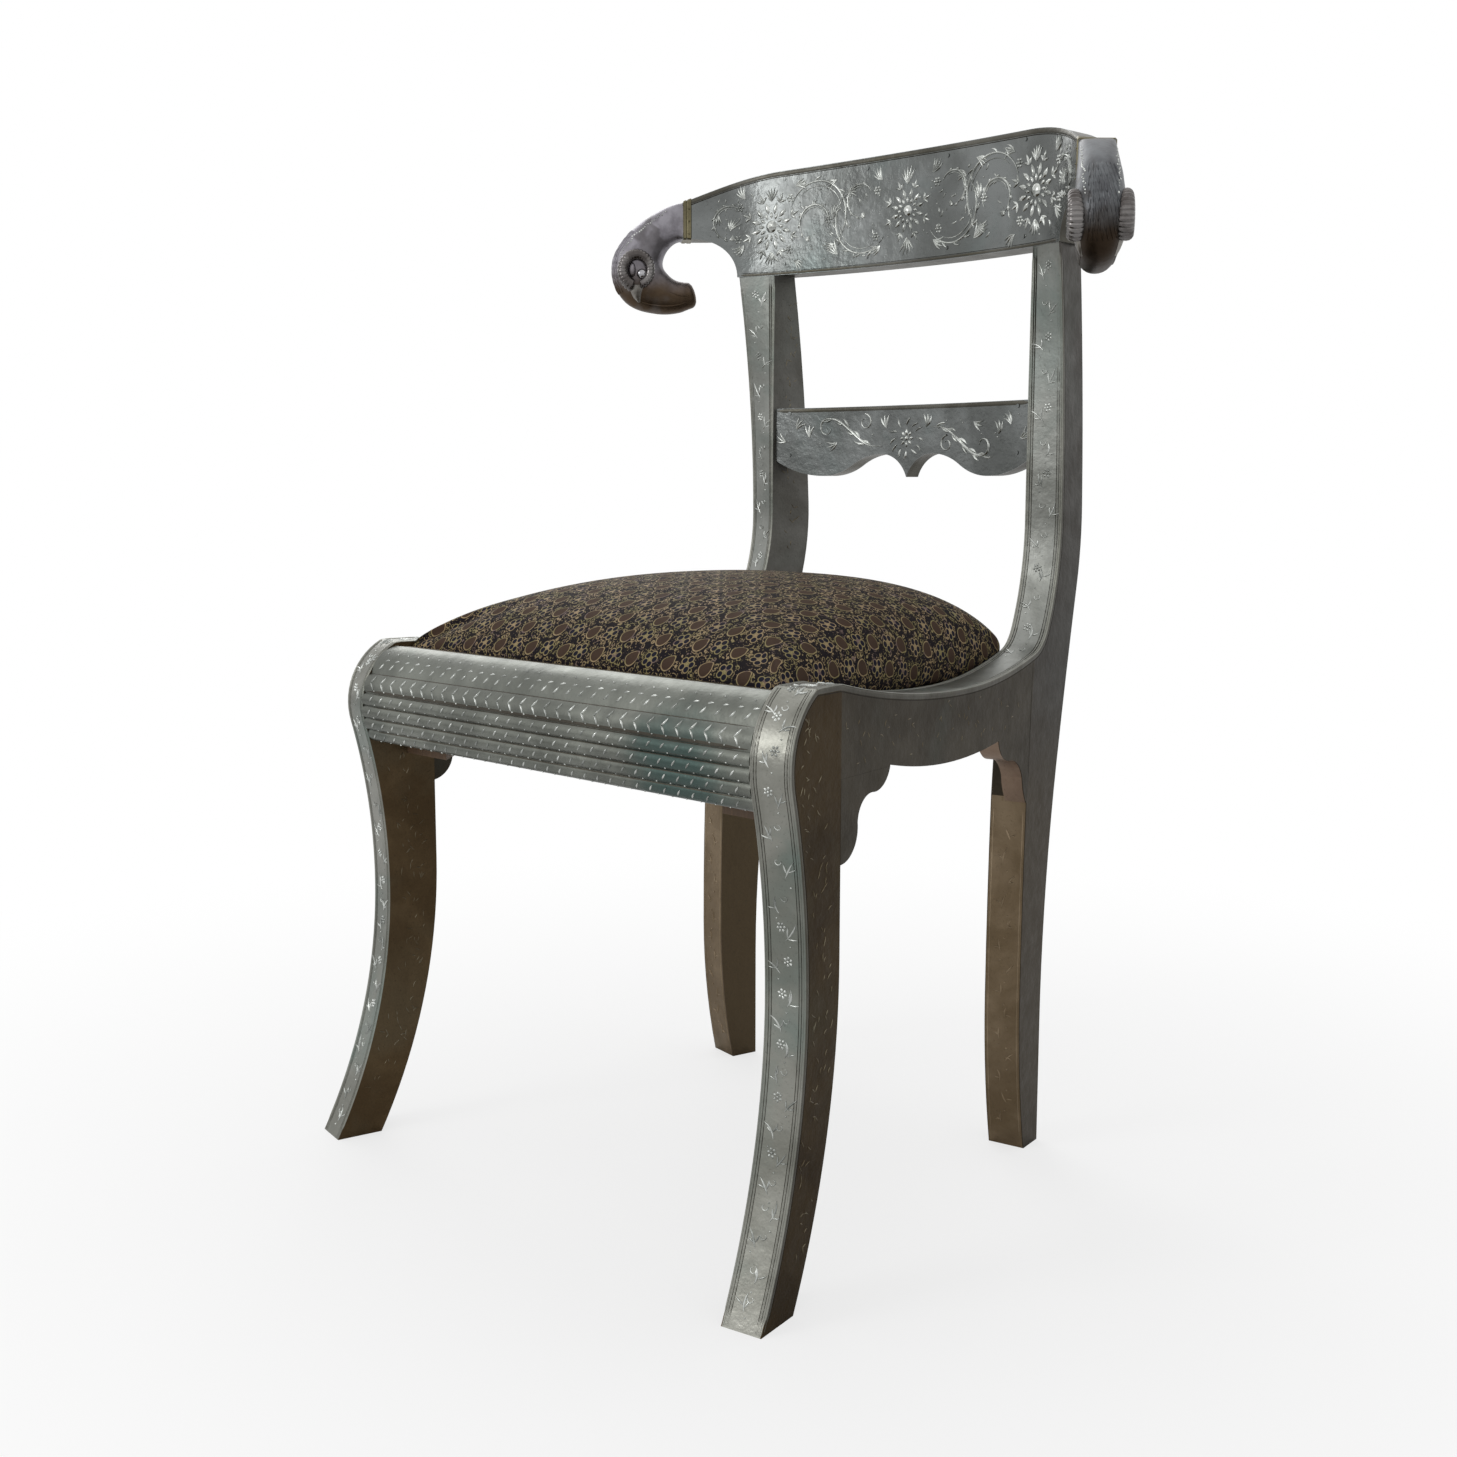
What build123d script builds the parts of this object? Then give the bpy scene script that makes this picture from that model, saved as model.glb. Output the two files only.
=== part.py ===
from build123d import *
import math
import os

# Driving dimensions, in millimetres and degrees.
# Side frames stand on vertical planes that splay outwards towards the front. A point of a side frame is
# given as (s, z): s runs forward along the frame from the front of the rear foot, z is height.
SIDE_SPLAY = 11.28
REAR_HALF_WIDTH = 198.3
SIDE_WIDTH = 34.0
SHEET = 0.8
SEAT_RAIL_TOP = 450.0
TALL = 1200.0

# Front leg, a sabre leg with a rolled top
LEG_WAIST_S = 372.6
LEG_WAIST_Z = 232.0
LEG_TOE = 56.4
LEG_FOOT = 42.0
LEG_DEPTH = 46.4
LEG_HEEL_Z = 250.0
ROLL_SETBACK = 42.6
ROLL_DROP = 56.0
ROLL_RADIUS = 63.5

# Side rail, which dips behind the front leg
RAIL_DIP_S = 128.0
RAIL_DIP_DROP = 22.2
RAIL_REAR_DROP = 5.0
RAIL_DEPTH = 56.4
RAIL_BELLY_S = 147.0
RAIL_BELLY_RADIUS = 520.0

# Back post: rear leg and stile in one; drops and rises are from the top of the seat rail
POST_SWELL_S = 14.5
POST_SWELL_Z = 140.0
POST_BRACKET_S = 10.5
POST_BRACKET_DROP = 130.0
STILE_BEND_S = -24.0
STILE_BEND_RISE = 14.5
STILE_BACK_S = -47.0
STILE_BACK_RISE = 110.0
STILE_TOP_OUTER_S = -29.5
STILE_TOP_INNER_S = -49.0
POST_FOOT_REAR = 28.0
POST_REAR_STRAIGHT_Z = 110.0
POST_KNEE_S = -51.0
POST_KNEE_DROP = 105.0
POST_SEAT_S = -85.0
POST_SEAT_RISE = 50.0
POST_BACK_S = -92.0
POST_BACK_RISE = 120.0
POST_REAR_TOP_S = -73.0

# Brackets under the side rails: points of three arcs, as (along the rail, below it) from the corner
FRONT_BRACKET = ((72.0, 0.0), (64.5, 10.9), (48.0, 16.0), (28.3, 24.0), (24.3, 35.0), (18.5, 54.5), (2.0, 62.5))
REAR_BRACKET = ((58.0, 0.0), (52.0, 16.0), (38.0, 23.5), (16.0, 32.0), (10.0, 42.0), (7.0, 54.0), (1.0, 65.0))
BRACKET_ROOT = 17.5
BRACKET_CROWN = 35.0
BRACKET_WIDTH = 20.0
BRACKET_RISE = 10.0

# Front rail with six reeds on its rolled face
FRONT_RAIL_BELOW_ROLL = 31.0
FRONT_RAIL_DEPTH = 38.576
REED_WIDTHS = (11.7, 11.7, 11.7, 11.7, 19.0, 34.0)
REED_HEIGHT = 2.4

# Rear seat rail
REAR_RAIL_FRONT_Y = 5.0
REAR_RAIL_DEPTH = 24.0
REAR_RAIL_HEIGHT = 43.0
REAR_RAIL_DROP = 22.0

# Crest rail, bowed in plan with ends that turn forward
CREST_SETBACK = 11.35
CREST_RADIUS = 700.0
CREST_BOW_INSET = 41.8
CREST_END_RADIUS = 140.0
CREST_END_ANGLE = 51.5
CREST_DEPTH = 30.0
CREST_TOP = 894.5
CREST_HEIGHT = 101.5
CREST_SHOULDER_INSET = 48.3
CREST_SHOULDER_DROP = 2.5
CREST_END_DROP = 28.5
CREST_END_HEIGHT = 35.0
EAR_INSET = 5.3

# Splat with a scalloped lower edge; drops are from its top
SPLAT_SETBACK = 4.15
SPLAT_RADIUS = 697.0
SPLAT_DEPTH = 18.0
SPLAT_TOP = 663.0
SPLAT_END_HEIGHT = 51.0
SPLAT_LOBE_X = 101.0
SPLAT_LOBE_DROP = 66.5
SPLAT_CUSP_X = 31.0
SPLAT_CUSP_DROP = 45.5
SPLAT_TIP_DROP = 67.5

# Ram's heads: sections turned about the hollow of the hook
HEAD_HOLLOW_DROP = 43.0
HEAD_ANGLES = (90, 60, 30, 0, -30, -60, -90, -106)
HEAD_INNER_RADII = (26.0, 22.0, 20.0, 19.0, 16.0, 15.0, 16.0, 20.0)
HEAD_OUTER_RADII = (60.0, 58.0, 62.0, 70.0, 68.0, 54.0, 44.0, 38.0)
HEAD_WIDTHS = (27.0, 33.0, 38.0, 40.0, 37.0, 32.0, 26.0, 16.0)
HORN_RADIUS = 14.0
HORN_WIRE = 4.6
HORN_TURN = 300.0
HORN_REACH = 46.0
HORN_DROP = 6.0

# Drop-in seat
SEAT_DROP = 48.0
SEAT_GAP = 0.3
SEAT_CLEARANCE = 3.0
SEAT_FRAME_THICK = 20.0
SEAT_FRAME_WIDTH = 52.0
WEB_THICK = 1.2
WEB_WIDTH = 50.0
WEB_COUNT = 3
WEB_MARGIN = 12.0
CUSHION_CROWN_RISE = 65.0
CUSHION_CROWN_AT = 0.2
CUSHION_EDGE_RISE = 2.0
CUSHION_END_RISE = 6.0
CUSHION_SIDE_GAP = 3.0
CUSHION_DRAW_IN = 8.0
CUSHION_SHOULDER = 30.0
CUSHION_SHOULDER_SHARE = 0.65
CUSHION_CORNER = 8.0
CUSHION_FRONT_POWERS = (2.34, 0.68)
CUSHION_REAR_POWERS = (3.0, 0.55)
CUSHION_PLACES = (-1, -0.93, -0.75, -0.4, 0, 0.4, 0.75, 0.93, 1)
DUST_COVER = 0.6

# Joinery
DOWEL_RADIUS = 5.0
DOWEL_LENGTH = 50.0
SPLAT_DOWEL_LENGTH = 24.0
DOWEL_FIT = 0.1
BLOCK_LEG = 60.0
BLOCK_HEIGHT = 26.0
SCREW_RADIUS = 2.2
SCREW_LENGTH = 32.0
SCREW_SUNK = 20.0
SCREW_HEAD_RADIUS = 4.2
SCREW_HEAD = 2.6
CROSS_SCREW_OFFSET = 32.0
CROSS_SCREW_DROP = 7.0
SIDE_SCREW_OFFSET = 12.0
SIDE_SCREW_DROP = 18.0
PIN_RADIUS = 1.0
PIN_LENGTH = 9.0
PIN_HEAD_RADIUS = 1.8
PIN_HEAD = 0.7
PIN_MARGIN = 10.0
PIN_SPREAD = 0.92

# Heights and places that follow from these
roll_z = SEAT_RAIL_TOP - ROLL_DROP
rail_dip_z = SEAT_RAIL_TOP - RAIL_DIP_DROP
rail_rear_z = SEAT_RAIL_TOP - RAIL_REAR_DROP
rail_belly_z = rail_dip_z - RAIL_DEPTH
post_swell = (POST_SWELL_S, POST_SWELL_Z)
bracket_foot = (POST_BRACKET_S, SEAT_RAIL_TOP - POST_BRACKET_DROP)
stile_bend = (STILE_BEND_S, SEAT_RAIL_TOP + STILE_BEND_RISE)
stile_back = (STILE_BACK_S, SEAT_RAIL_TOP + STILE_BACK_RISE)
post_knee = (POST_KNEE_S, SEAT_RAIL_TOP - POST_KNEE_DROP)
post_seat = (POST_SEAT_S, SEAT_RAIL_TOP + POST_SEAT_RISE)
post_back = (POST_BACK_S, SEAT_RAIL_TOP + POST_BACK_RISE)
front_rail_bottom = roll_z - FRONT_RAIL_BELOW_ROLL
rear_rail_top = SEAT_RAIL_TOP - REAR_RAIL_DROP
rear_rail_bottom = rear_rail_top - REAR_RAIL_HEIGHT
crest_bottom = CREST_TOP - CREST_HEIGHT
crest_bow_x = REAR_HALF_WIDTH - CREST_BOW_INSET
crest_shoulder = (REAR_HALF_WIDTH - CREST_SHOULDER_INSET, CREST_TOP - CREST_SHOULDER_DROP)
crest_end_top = CREST_TOP - CREST_END_DROP
crest_end_low = crest_end_top - CREST_END_HEIGHT
ear_start_x = REAR_HALF_WIDTH - EAR_INSET
splat_end_z = SPLAT_TOP - SPLAT_END_HEIGHT
splat_lobe = (SPLAT_LOBE_X, SPLAT_TOP - SPLAT_LOBE_DROP)
splat_cusp = (SPLAT_CUSP_X, SPLAT_TOP - SPLAT_CUSP_DROP)
splat_tip_z = SPLAT_TOP - SPLAT_TIP_DROP
seat_base_z = SEAT_RAIL_TOP - SEAT_DROP
cushion_crown = SEAT_RAIL_TOP + CUSHION_CROWN_RISE
cushion_edge_z = SEAT_RAIL_TOP + CUSHION_EDGE_RISE

splay = math.radians(SIDE_SPLAY)
FORWARD = Vector(math.sin(splay), -math.cos(splay), 0)
INWARD = Vector(-math.cos(splay), -math.sin(splay), 0)
nodes = {}


# Shared helpers
def side_point(s, inset, z=0.0):
    """Point of the right-hand side frame, inset from its outer face."""
    return Vector(REAR_HALF_WIDTH, 0, z) + FORWARD * s + INWARD * inset


def side_plane(inset):
    return Plane(origin=side_point(0, inset), x_dir=FORWARD, z_dir=INWARD)


def slab(outline, inset, width):
    """Side-frame outline made into a board, from one inset to another."""
    return extrude(side_plane(inset) * outline, amount=width, dir=INWARD)


def mirrored(shape):
    return mirror(shape, about=Plane.YZ)


def both_sides(name, right_shape):
    nodes["right_" + name] = right_shape
    nodes["left_" + name] = mirrored(right_shape)


def arc(centre, radius, start_angle, end_angle):
    return CenterArc(centre, radius, start_angle, end_angle - start_angle)


def block(low, high):
    """Box between two opposite corners."""
    size = [high[i] - low[i] for i in range(3)]
    return Pos(*low) * Box(*size, align=(Align.MIN, Align.MIN, Align.MIN))


def between_sides(inset):
    """Everything between the two side frames, from one inset of each."""
    front = side_point(TALL, inset)
    rear = side_point(-TALL / 2, inset)
    plan = Polygon((front.X, front.Y), (rear.X, rear.Y), (-rear.X, rear.Y), (-front.X, front.Y), align=None)
    return extrude(plan, amount=TALL)


def rod(start, direction, length, radius):
    return extrude(Plane(origin=start, z_dir=direction) * Circle(radius), amount=length)


def dowel_at(middle, direction, length=DOWEL_LENGTH):
    """A dowel centred on a joint and the hole that takes it."""
    start = Vector(*middle) - Vector(*direction).normalized() * (length / 2)
    peg = rod(start, direction, length, DOWEL_RADIUS)
    slack = Vector(*direction).normalized() * DOWEL_FIT
    hole = rod(start - slack, direction, length + 2 * DOWEL_FIT, DOWEL_RADIUS + DOWEL_FIT)
    return peg, hole


# Front leg outline; a positive offset moves its front edge into the leg
leg_rear_s = LEG_WAIST_S - LEG_DEPTH
roll_s = LEG_WAIST_S - ROLL_SETBACK
roll_rise = roll_z - LEG_WAIST_Z
toe_radius = (LEG_TOE**2 + LEG_WAIST_Z**2) / (2 * LEG_TOE)
shin_radius = (ROLL_SETBACK**2 + roll_rise**2 - ROLL_RADIUS**2) / (2 * (ROLL_RADIUS - ROLL_SETBACK))
brow_angle = math.degrees(math.atan2(roll_rise, -(ROLL_SETBACK + shin_radius)))


def leg_outline(offset):
    toe_angle = 180 + math.degrees(math.asin(LEG_WAIST_Z / (toe_radius + offset)))
    toe = arc((LEG_WAIST_S + toe_radius, LEG_WAIST_Z), toe_radius + offset, 180, toe_angle)
    shin = arc((LEG_WAIST_S + shin_radius, LEG_WAIST_Z), shin_radius + offset, 180, brow_angle)
    top_z = SEAT_RAIL_TOP - offset
    top_angle = math.degrees(math.asin((top_z - roll_z) / (ROLL_RADIUS - offset)))
    roll = arc((roll_s, roll_z), ROLL_RADIUS - offset, brow_angle - 180, top_angle)
    heel_s = LEG_WAIST_S + LEG_TOE - LEG_FOOT
    heel_run = heel_s - leg_rear_s
    heel_radius = (heel_run**2 + LEG_HEEL_Z**2) / (2 * heel_run)
    heel_angle = 180 + math.degrees(math.asin(LEG_HEEL_Z / heel_radius))
    heel = arc((leg_rear_s + heel_radius, LEG_HEEL_Z), heel_radius, 180, heel_angle)
    back = Line((leg_rear_s, LEG_HEEL_Z), (leg_rear_s, top_z))
    top = Line((leg_rear_s, top_z), roll @ 1)
    sole = Line(heel @ 1, toe @ 1)
    return make_face([toe, shin, roll, top, back, heel, sole])


# Side rail edges and post outline
rail_top_front = TangentArc((RAIL_DIP_S, rail_dip_z), (leg_rear_s, SEAT_RAIL_TOP), tangent=(1, 0))
rail_top_rear = TangentArc((RAIL_DIP_S, rail_dip_z), (0, rail_rear_z), tangent=(-1, 0))


def post_outline(top_s):
    low_front = TangentArc(post_swell, (0, 0), tangent=(0, -1))
    mid_front = TangentArc(post_swell, bracket_foot, tangent=(0, 1))
    joint = Line(bracket_foot, (0, rail_rear_z))
    bend = TangentArc((0, rail_rear_z), stile_bend, tangent=rail_top_rear % 1)
    sweep_up = TangentArc(stile_bend, stile_back, tangent=bend % 1)
    stile = TangentArc(stile_back, (top_s, crest_bottom), tangent=sweep_up % 1)
    top = Line((top_s, crest_bottom), (POST_REAR_TOP_S, crest_bottom))
    heel = (-POST_FOOT_REAR, 0)
    calf = (-POST_FOOT_REAR, POST_REAR_STRAIGHT_Z)
    rear_low = Line(heel, calf)
    rear_knee = TangentArc(calf, post_knee, tangent=(0, 1))
    rear_seat = TangentArc(post_knee, post_seat, tangent=rear_knee % 1)
    rear_back = TangentArc(post_seat, post_back, tangent=rear_seat % 1)
    rear_top = TangentArc(post_back, (POST_REAR_TOP_S, crest_bottom), tangent=rear_back % 1)
    sole = Line(heel, (0, 0))
    return make_face([low_front, mid_front, joint, bend, sweep_up, stile, top,
                      rear_low, rear_knee, rear_seat, rear_back, rear_top, sole])


def rail_outline():
    lower = math.sqrt(RAIL_BELLY_RADIUS**2 - (leg_rear_s - RAIL_BELLY_S)**2)
    belly_z = rail_belly_z + RAIL_BELLY_RADIUS
    front_low = (leg_rear_s, belly_z - lower)
    rear_s = POST_REAR_TOP_S / 2
    rear_low_z = belly_z - math.sqrt(RAIL_BELLY_RADIUS**2 - (rear_s - RAIL_BELLY_S)**2)
    belly = ThreePointArc(front_low, (RAIL_BELLY_S, rail_belly_z), (rear_s, rear_low_z))
    front = Line(front_low, (leg_rear_s, SEAT_RAIL_TOP))
    rear = Line((rear_s, rear_low_z), (rear_s, rail_rear_z))
    rear_top = Line((rear_s, rail_rear_z), (0, rail_rear_z))
    region = make_face([rail_top_front, rail_top_rear, rear_top, rear, belly, front])
    return region - post_outline(STILE_TOP_OUTER_S)


def bracket_outline(points, corner_s, corner_z, heading):
    """Two lobes joined by a hollow, in the corner of a leg and the rail; heading is +1 or -1 along s."""
    def place(along, down):
        return (corner_s + heading * along, corner_z - down)

    upper = ThreePointArc(*[place(*point) for point in points[:3]])
    hollow = ThreePointArc(*[place(*point) for point in points[2:5]])
    lower = ThreePointArc(*[place(*point) for point in points[4:]])
    root = place(-BRACKET_ROOT, points[-1][1])
    crown = place(-BRACKET_ROOT, -BRACKET_CROWN)
    shoulder = place(points[0][0], -BRACKET_CROWN)
    return make_face([upper, hollow, lower, Line(lower @ 1, root), Line(root, crown), Line(crown, shoulder),
                      Line(shoulder, upper @ 0)])


# Side frames: cores and sheets
core_width = SIDE_WIDTH - 2 * SHEET
leg_face = leg_outline(0)
leg_core_face = leg_outline(SHEET)
leg_core = slab(leg_core_face, SHEET, core_width)
both_sides("front_leg_front_strip", slab(leg_face - leg_core_face, SHEET, core_width))
both_sides("front_leg_outer_sheet", slab(leg_face, 0, SHEET))

post_outer_face = post_outline(STILE_TOP_OUTER_S)
post_inner_face = post_outline(STILE_TOP_INNER_S)
post_body = loft([side_plane(SHEET) * post_outer_face, side_plane(SIDE_WIDTH - SHEET) * post_inner_face],
                 ruled=True)
post_back_set = Pos(*(FORWARD * -SHEET)) * post_body
stile_zone = block((-TALL, -TALL, rail_rear_z), (TALL, TALL, TALL))
shin_zone = block((-TALL, -TALL, 0), (TALL, TALL, bracket_foot[1]))
post_front_skin = post_body - post_back_set
both_sides("stile_front_strip", post_front_skin & stile_zone)
both_sides("rear_leg_front_strip", post_front_skin & shin_zone)
post_core = post_body - (post_front_skin & stile_zone) - (post_front_skin & shin_zone)
both_sides("post_outer_sheet", slab(post_outer_face, 0, SHEET))

rail_face = rail_outline()
bracket_top = rail_belly_z + BRACKET_RISE
front_bracket_face = bracket_outline(FRONT_BRACKET, leg_rear_s, bracket_top, -1) - rail_face - leg_face
rear_bracket_face = bracket_outline(REAR_BRACKET, bracket_foot[0], bracket_top, 1) - rail_face - post_outer_face
rail_core_face = rail_face & (Pos(0, -SHEET) * rail_face)
rail_core = slab(rail_core_face, SHEET, SIDE_WIDTH - SHEET)
both_sides("side_rail_top_strip", slab(rail_face - rail_core_face, SHEET, SIDE_WIDTH - SHEET))
both_sides("side_rail_outer_sheet", slab(rail_face + front_bracket_face + rear_bracket_face, 0, SHEET))
both_sides("front_bracket", slab(front_bracket_face, SHEET, BRACKET_WIDTH - SHEET))
both_sides("rear_bracket", slab(rear_bracket_face, SHEET, BRACKET_WIDTH - SHEET))

# Front rail and its reeded cover, both on the roll of the front legs
roll_y = side_point(roll_s, SIDE_WIDTH).Y
inside = between_sides(SIDE_WIDTH)
cover_base = ROLL_RADIUS - REED_HEIGHT
cover_inner = cover_base - SHEET
front_rail_rear_y = roll_y - cover_inner + FRONT_RAIL_DEPTH
bottom_angle = math.degrees(math.asin((front_rail_bottom - roll_z) / cover_base))
YZ_FROM_LEFT = Plane(origin=(-TALL / 2, 0, 0), x_dir=(0, -1, 0), z_dir=(-1, 0, 0))


def along_x(outline):
    """Profile in (-y, z) run across the whole chair."""
    return extrude(YZ_FROM_LEFT * outline, amount=TALL, dir=(1, 0, 0))


def on_roll(radius, angle):
    a = math.radians(angle)
    return (-roll_y + radius * math.cos(a), roll_z + radius * math.sin(a))


def reeded_face():
    edges = []
    angle = bottom_angle
    for width in REED_WIDTHS:
        turn = math.degrees(width / ROLL_RADIUS)
        edges.append(ThreePointArc(on_roll(cover_base, angle), on_roll(ROLL_RADIUS, angle + turn / 2),
                                   on_roll(cover_base, angle + turn)))
        angle += turn
    inner = arc((-roll_y, roll_z), cover_inner, bottom_angle, angle)
    edges.append(inner)
    edges.append(Line(inner @ 0, on_roll(cover_base, bottom_angle)))
    edges.append(Line(inner @ 1, on_roll(cover_base, angle)))
    return make_face(edges), angle


reeds, roll_end_angle = reeded_face()
roll_start = on_roll(cover_inner, bottom_angle)
roll_end = on_roll(cover_inner, roll_end_angle)
rail_rear = -front_rail_rear_y
front_rail_face = make_face([
    arc((-roll_y, roll_z), cover_inner, bottom_angle, roll_end_angle),
    Line(roll_end, (rail_rear, roll_end[1])),
    Line((rail_rear, roll_end[1]), (rail_rear, roll_start[1])),
    Line((rail_rear, roll_start[1]), roll_start),
])
front_rail = along_x(front_rail_face) & inside
nodes["front_rail_reeded_cover"] = along_x(reeds) & inside

# Rear seat rail
rear_rail = block((-TALL / 2, REAR_RAIL_FRONT_Y, rear_rail_bottom),
                  (TALL / 2, REAR_RAIL_FRONT_Y + REAR_RAIL_DEPTH, rear_rail_top)) & inside

# Crest rail: a bowed band in plan, cut to its front outline
def sagitta(radius, half_chord):
    return radius - math.sqrt(radius**2 - half_chord**2)


stile_top_y = side_point(STILE_TOP_OUTER_S, 0).Y
crest_front_y = stile_top_y + CREST_SETBACK + sagitta(CREST_RADIUS, crest_bow_x)
bow_angle = math.degrees(math.asin(crest_bow_x / CREST_RADIUS))
bow_centre = (0, crest_front_y - CREST_RADIUS)
bow_end = Vector(crest_bow_x, bow_centre[1] + CREST_RADIUS * math.cos(math.radians(bow_angle)))
end_centre = (bow_end.X - CREST_END_RADIUS * math.sin(math.radians(bow_angle)),
              bow_end.Y - CREST_END_RADIUS * math.cos(math.radians(bow_angle)))


def crest_plan(near, far):
    """Plan of the crest rail between two depths behind its front face."""
    rows = []
    for depth in (near, far):
        middle = arc(bow_centre, CREST_RADIUS + depth, 90 - bow_angle, 90 + bow_angle)
        right = arc(end_centre, CREST_END_RADIUS + depth, 90 - CREST_END_ANGLE, 90 - bow_angle)
        left_centre = (-end_centre[0], end_centre[1])
        left = arc(left_centre, CREST_END_RADIUS + depth, 90 + bow_angle, 90 + CREST_END_ANGLE)
        rows.append((right, middle, left))
    (right_a, mid_a, left_a), (right_b, mid_b, left_b) = rows
    return make_face([right_a, mid_a, left_a, Line(left_a @ 1, left_b @ 1), left_b, mid_b, right_b,
                      Line(right_b @ 0, right_a @ 0)])


def crest_end(depth):
    a = math.radians(90 - CREST_END_ANGLE)
    radius = CREST_END_RADIUS + depth
    return Vector(end_centre[0] + radius * math.cos(a), end_centre[1] + radius * math.sin(a))


def crest_front_outline():
    end_x = crest_end(0).X
    far_x = crest_end(CREST_DEPTH).X + CREST_DEPTH
    top = ThreePointArc((-crest_shoulder[0], crest_shoulder[1]), (0, CREST_TOP), crest_shoulder)
    shoulder = TangentArc(crest_shoulder, (end_x, crest_end_top), tangent=top % 1)
    ear = TangentArc((ear_start_x, crest_bottom), (end_x, crest_end_low), tangent=(0, 1))
    corners = [(end_x, crest_end_top), (far_x, crest_end_top), (far_x, crest_end_low), (end_x, crest_end_low)]
    half = [shoulder, ear] + [Line(corners[i], corners[i + 1]) for i in range(3)]
    other = [mirror(edge, about=Plane.YZ) for edge in half]
    bottom = Line((-ear_start_x, crest_bottom), (ear_start_x, crest_bottom))
    return make_face([top, bottom] + half + other)


def from_front(outline):
    """Outline in (x, z) run through the whole depth."""
    plane = Plane(origin=(0, TALL / 2, 0), x_dir=(1, 0, 0), z_dir=(0, -1, 0))
    return extrude(plane * outline, amount=TALL, dir=(0, -1, 0))


def standing(plan):
    return extrude(plan, amount=TALL)


crest_front = from_front(crest_front_outline())
crest_rail = standing(crest_plan(SHEET, CREST_DEPTH - SHEET)) & crest_front
crest_front_plate = standing(crest_plan(0, SHEET)) & crest_front
crest_back_plate = standing(crest_plan(CREST_DEPTH - SHEET, CREST_DEPTH)) & crest_front

# Splat, set back from the stiles' fronts
stile_inside = side_point(STILE_BACK_S, SIDE_WIDTH)
splat_front_y = stile_inside.Y + SPLAT_SETBACK + sagitta(SPLAT_RADIUS, stile_inside.X)
splat_centre = (0, splat_front_y - SPLAT_RADIUS)


def splat_plan(near, far):
    half_angle = math.degrees(math.asin(REAR_HALF_WIDTH / SPLAT_RADIUS))
    front = arc(splat_centre, SPLAT_RADIUS + near, 90 - half_angle, 90 + half_angle)
    back = arc(splat_centre, SPLAT_RADIUS + far, 90 - half_angle, 90 + half_angle)
    return make_face([front, back, Line(front @ 0, back @ 0), Line(front @ 1, back @ 1)])


def splat_outline():
    end_x = REAR_HALF_WIDTH
    halfway = ((splat_lobe[0] + splat_cusp[0]) / 2, (splat_lobe[1] + splat_cusp[1]) / 2)
    lobe_in = TangentArc(splat_lobe, halfway, tangent=(-1, 0))
    cusp_in = TangentArc(lobe_in @ 1, splat_cusp, tangent=lobe_in % 1)
    pendant = TangentArc(splat_cusp, (0, splat_tip_z), tangent=(-1, 0))
    end_rise = TangentArc(splat_lobe, (stile_inside.X, splat_end_z), tangent=(1, 0))
    end_run = Line(end_rise @ 1, (end_x, splat_end_z))
    half = [lobe_in, cusp_in, pendant, end_rise, end_run, Line((end_x, splat_end_z), (end_x, SPLAT_TOP))]
    other = [mirror(edge, about=Plane.YZ) for edge in half]
    return make_face(half + other + [Line((-end_x, SPLAT_TOP), (end_x, SPLAT_TOP))])


splat_front = from_front(splat_outline()) & inside
splat = standing(splat_plan(SHEET, SPLAT_DEPTH - SHEET)) & splat_front
splat_front_plate = standing(splat_plan(0, SHEET)) & splat_front
splat_back_plate = standing(splat_plan(SPLAT_DEPTH - SHEET, SPLAT_DEPTH)) & splat_front

# Ram's head at the right end of the crest rail
end_mid_z = (crest_end_top + crest_end_low) / 2
head_root = crest_end(CREST_DEPTH / 2)
head_root = Vector(head_root.X, head_root.Y, end_mid_z)
head_out = Vector(math.cos(math.radians(CREST_END_ANGLE)), -math.sin(math.radians(CREST_END_ANGLE)), 0)
head_hollow = head_root - Vector(0, 0, HEAD_HOLLOW_DROP)
head_side = Vector(0, 0, 1).cross(head_out)


def head_direction(angle):
    a = math.radians(angle)
    return head_out * math.cos(a) + Vector(0, 0, math.sin(a))


def head_section(angle, inner, outer, width):
    direction = head_direction(angle)
    middle = head_hollow + direction * ((inner + outer) / 2)
    plane = Plane(origin=middle, x_dir=direction, z_dir=direction.cross(head_side))
    return plane * Ellipse((outer - inner) / 2, width / 2)


head_rows = zip(HEAD_ANGLES, HEAD_INNER_RADII, HEAD_OUTER_RADII, HEAD_WIDTHS)
rams_head = loft([head_section(*row) for row in head_rows])
horn_middle = head_hollow + head_out * HORN_REACH - Vector(0, 0, HORN_DROP)
horn_offset = max(HEAD_WIDTHS) / 2


def horn(sign):
    plane = Plane(origin=horn_middle + head_side * (sign * horn_offset), x_dir=head_out, z_dir=head_side)
    ring = revolve(plane * Pos(HORN_RADIUS, 0) * Rot(90, 0, 0) * Circle(HORN_WIRE),
                   axis=Axis(plane.origin, plane.z_dir), revolution_arc=HORN_TURN)
    return ring


horns = [horn(1) - rams_head, horn(-1) - rams_head]

# Corner blocks that carry the seat, each with one screw into the cross rail and one into the side frame
support_z = seat_base_z - DUST_COVER - SEAT_GAP


def s_at(y, inset):
    """Place along the side frame where it crosses a given y."""
    return -(y + inset * math.sin(splay)) / math.cos(splay)


def x_at(y, inset):
    return side_point(s_at(y, inset), inset).X


front_corner = side_point(s_at(front_rail_rear_y, SIDE_WIDTH), SIDE_WIDTH)
rear_corner = side_point(s_at(REAR_RAIL_FRONT_Y, SIDE_WIDTH), SIDE_WIDTH)


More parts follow.
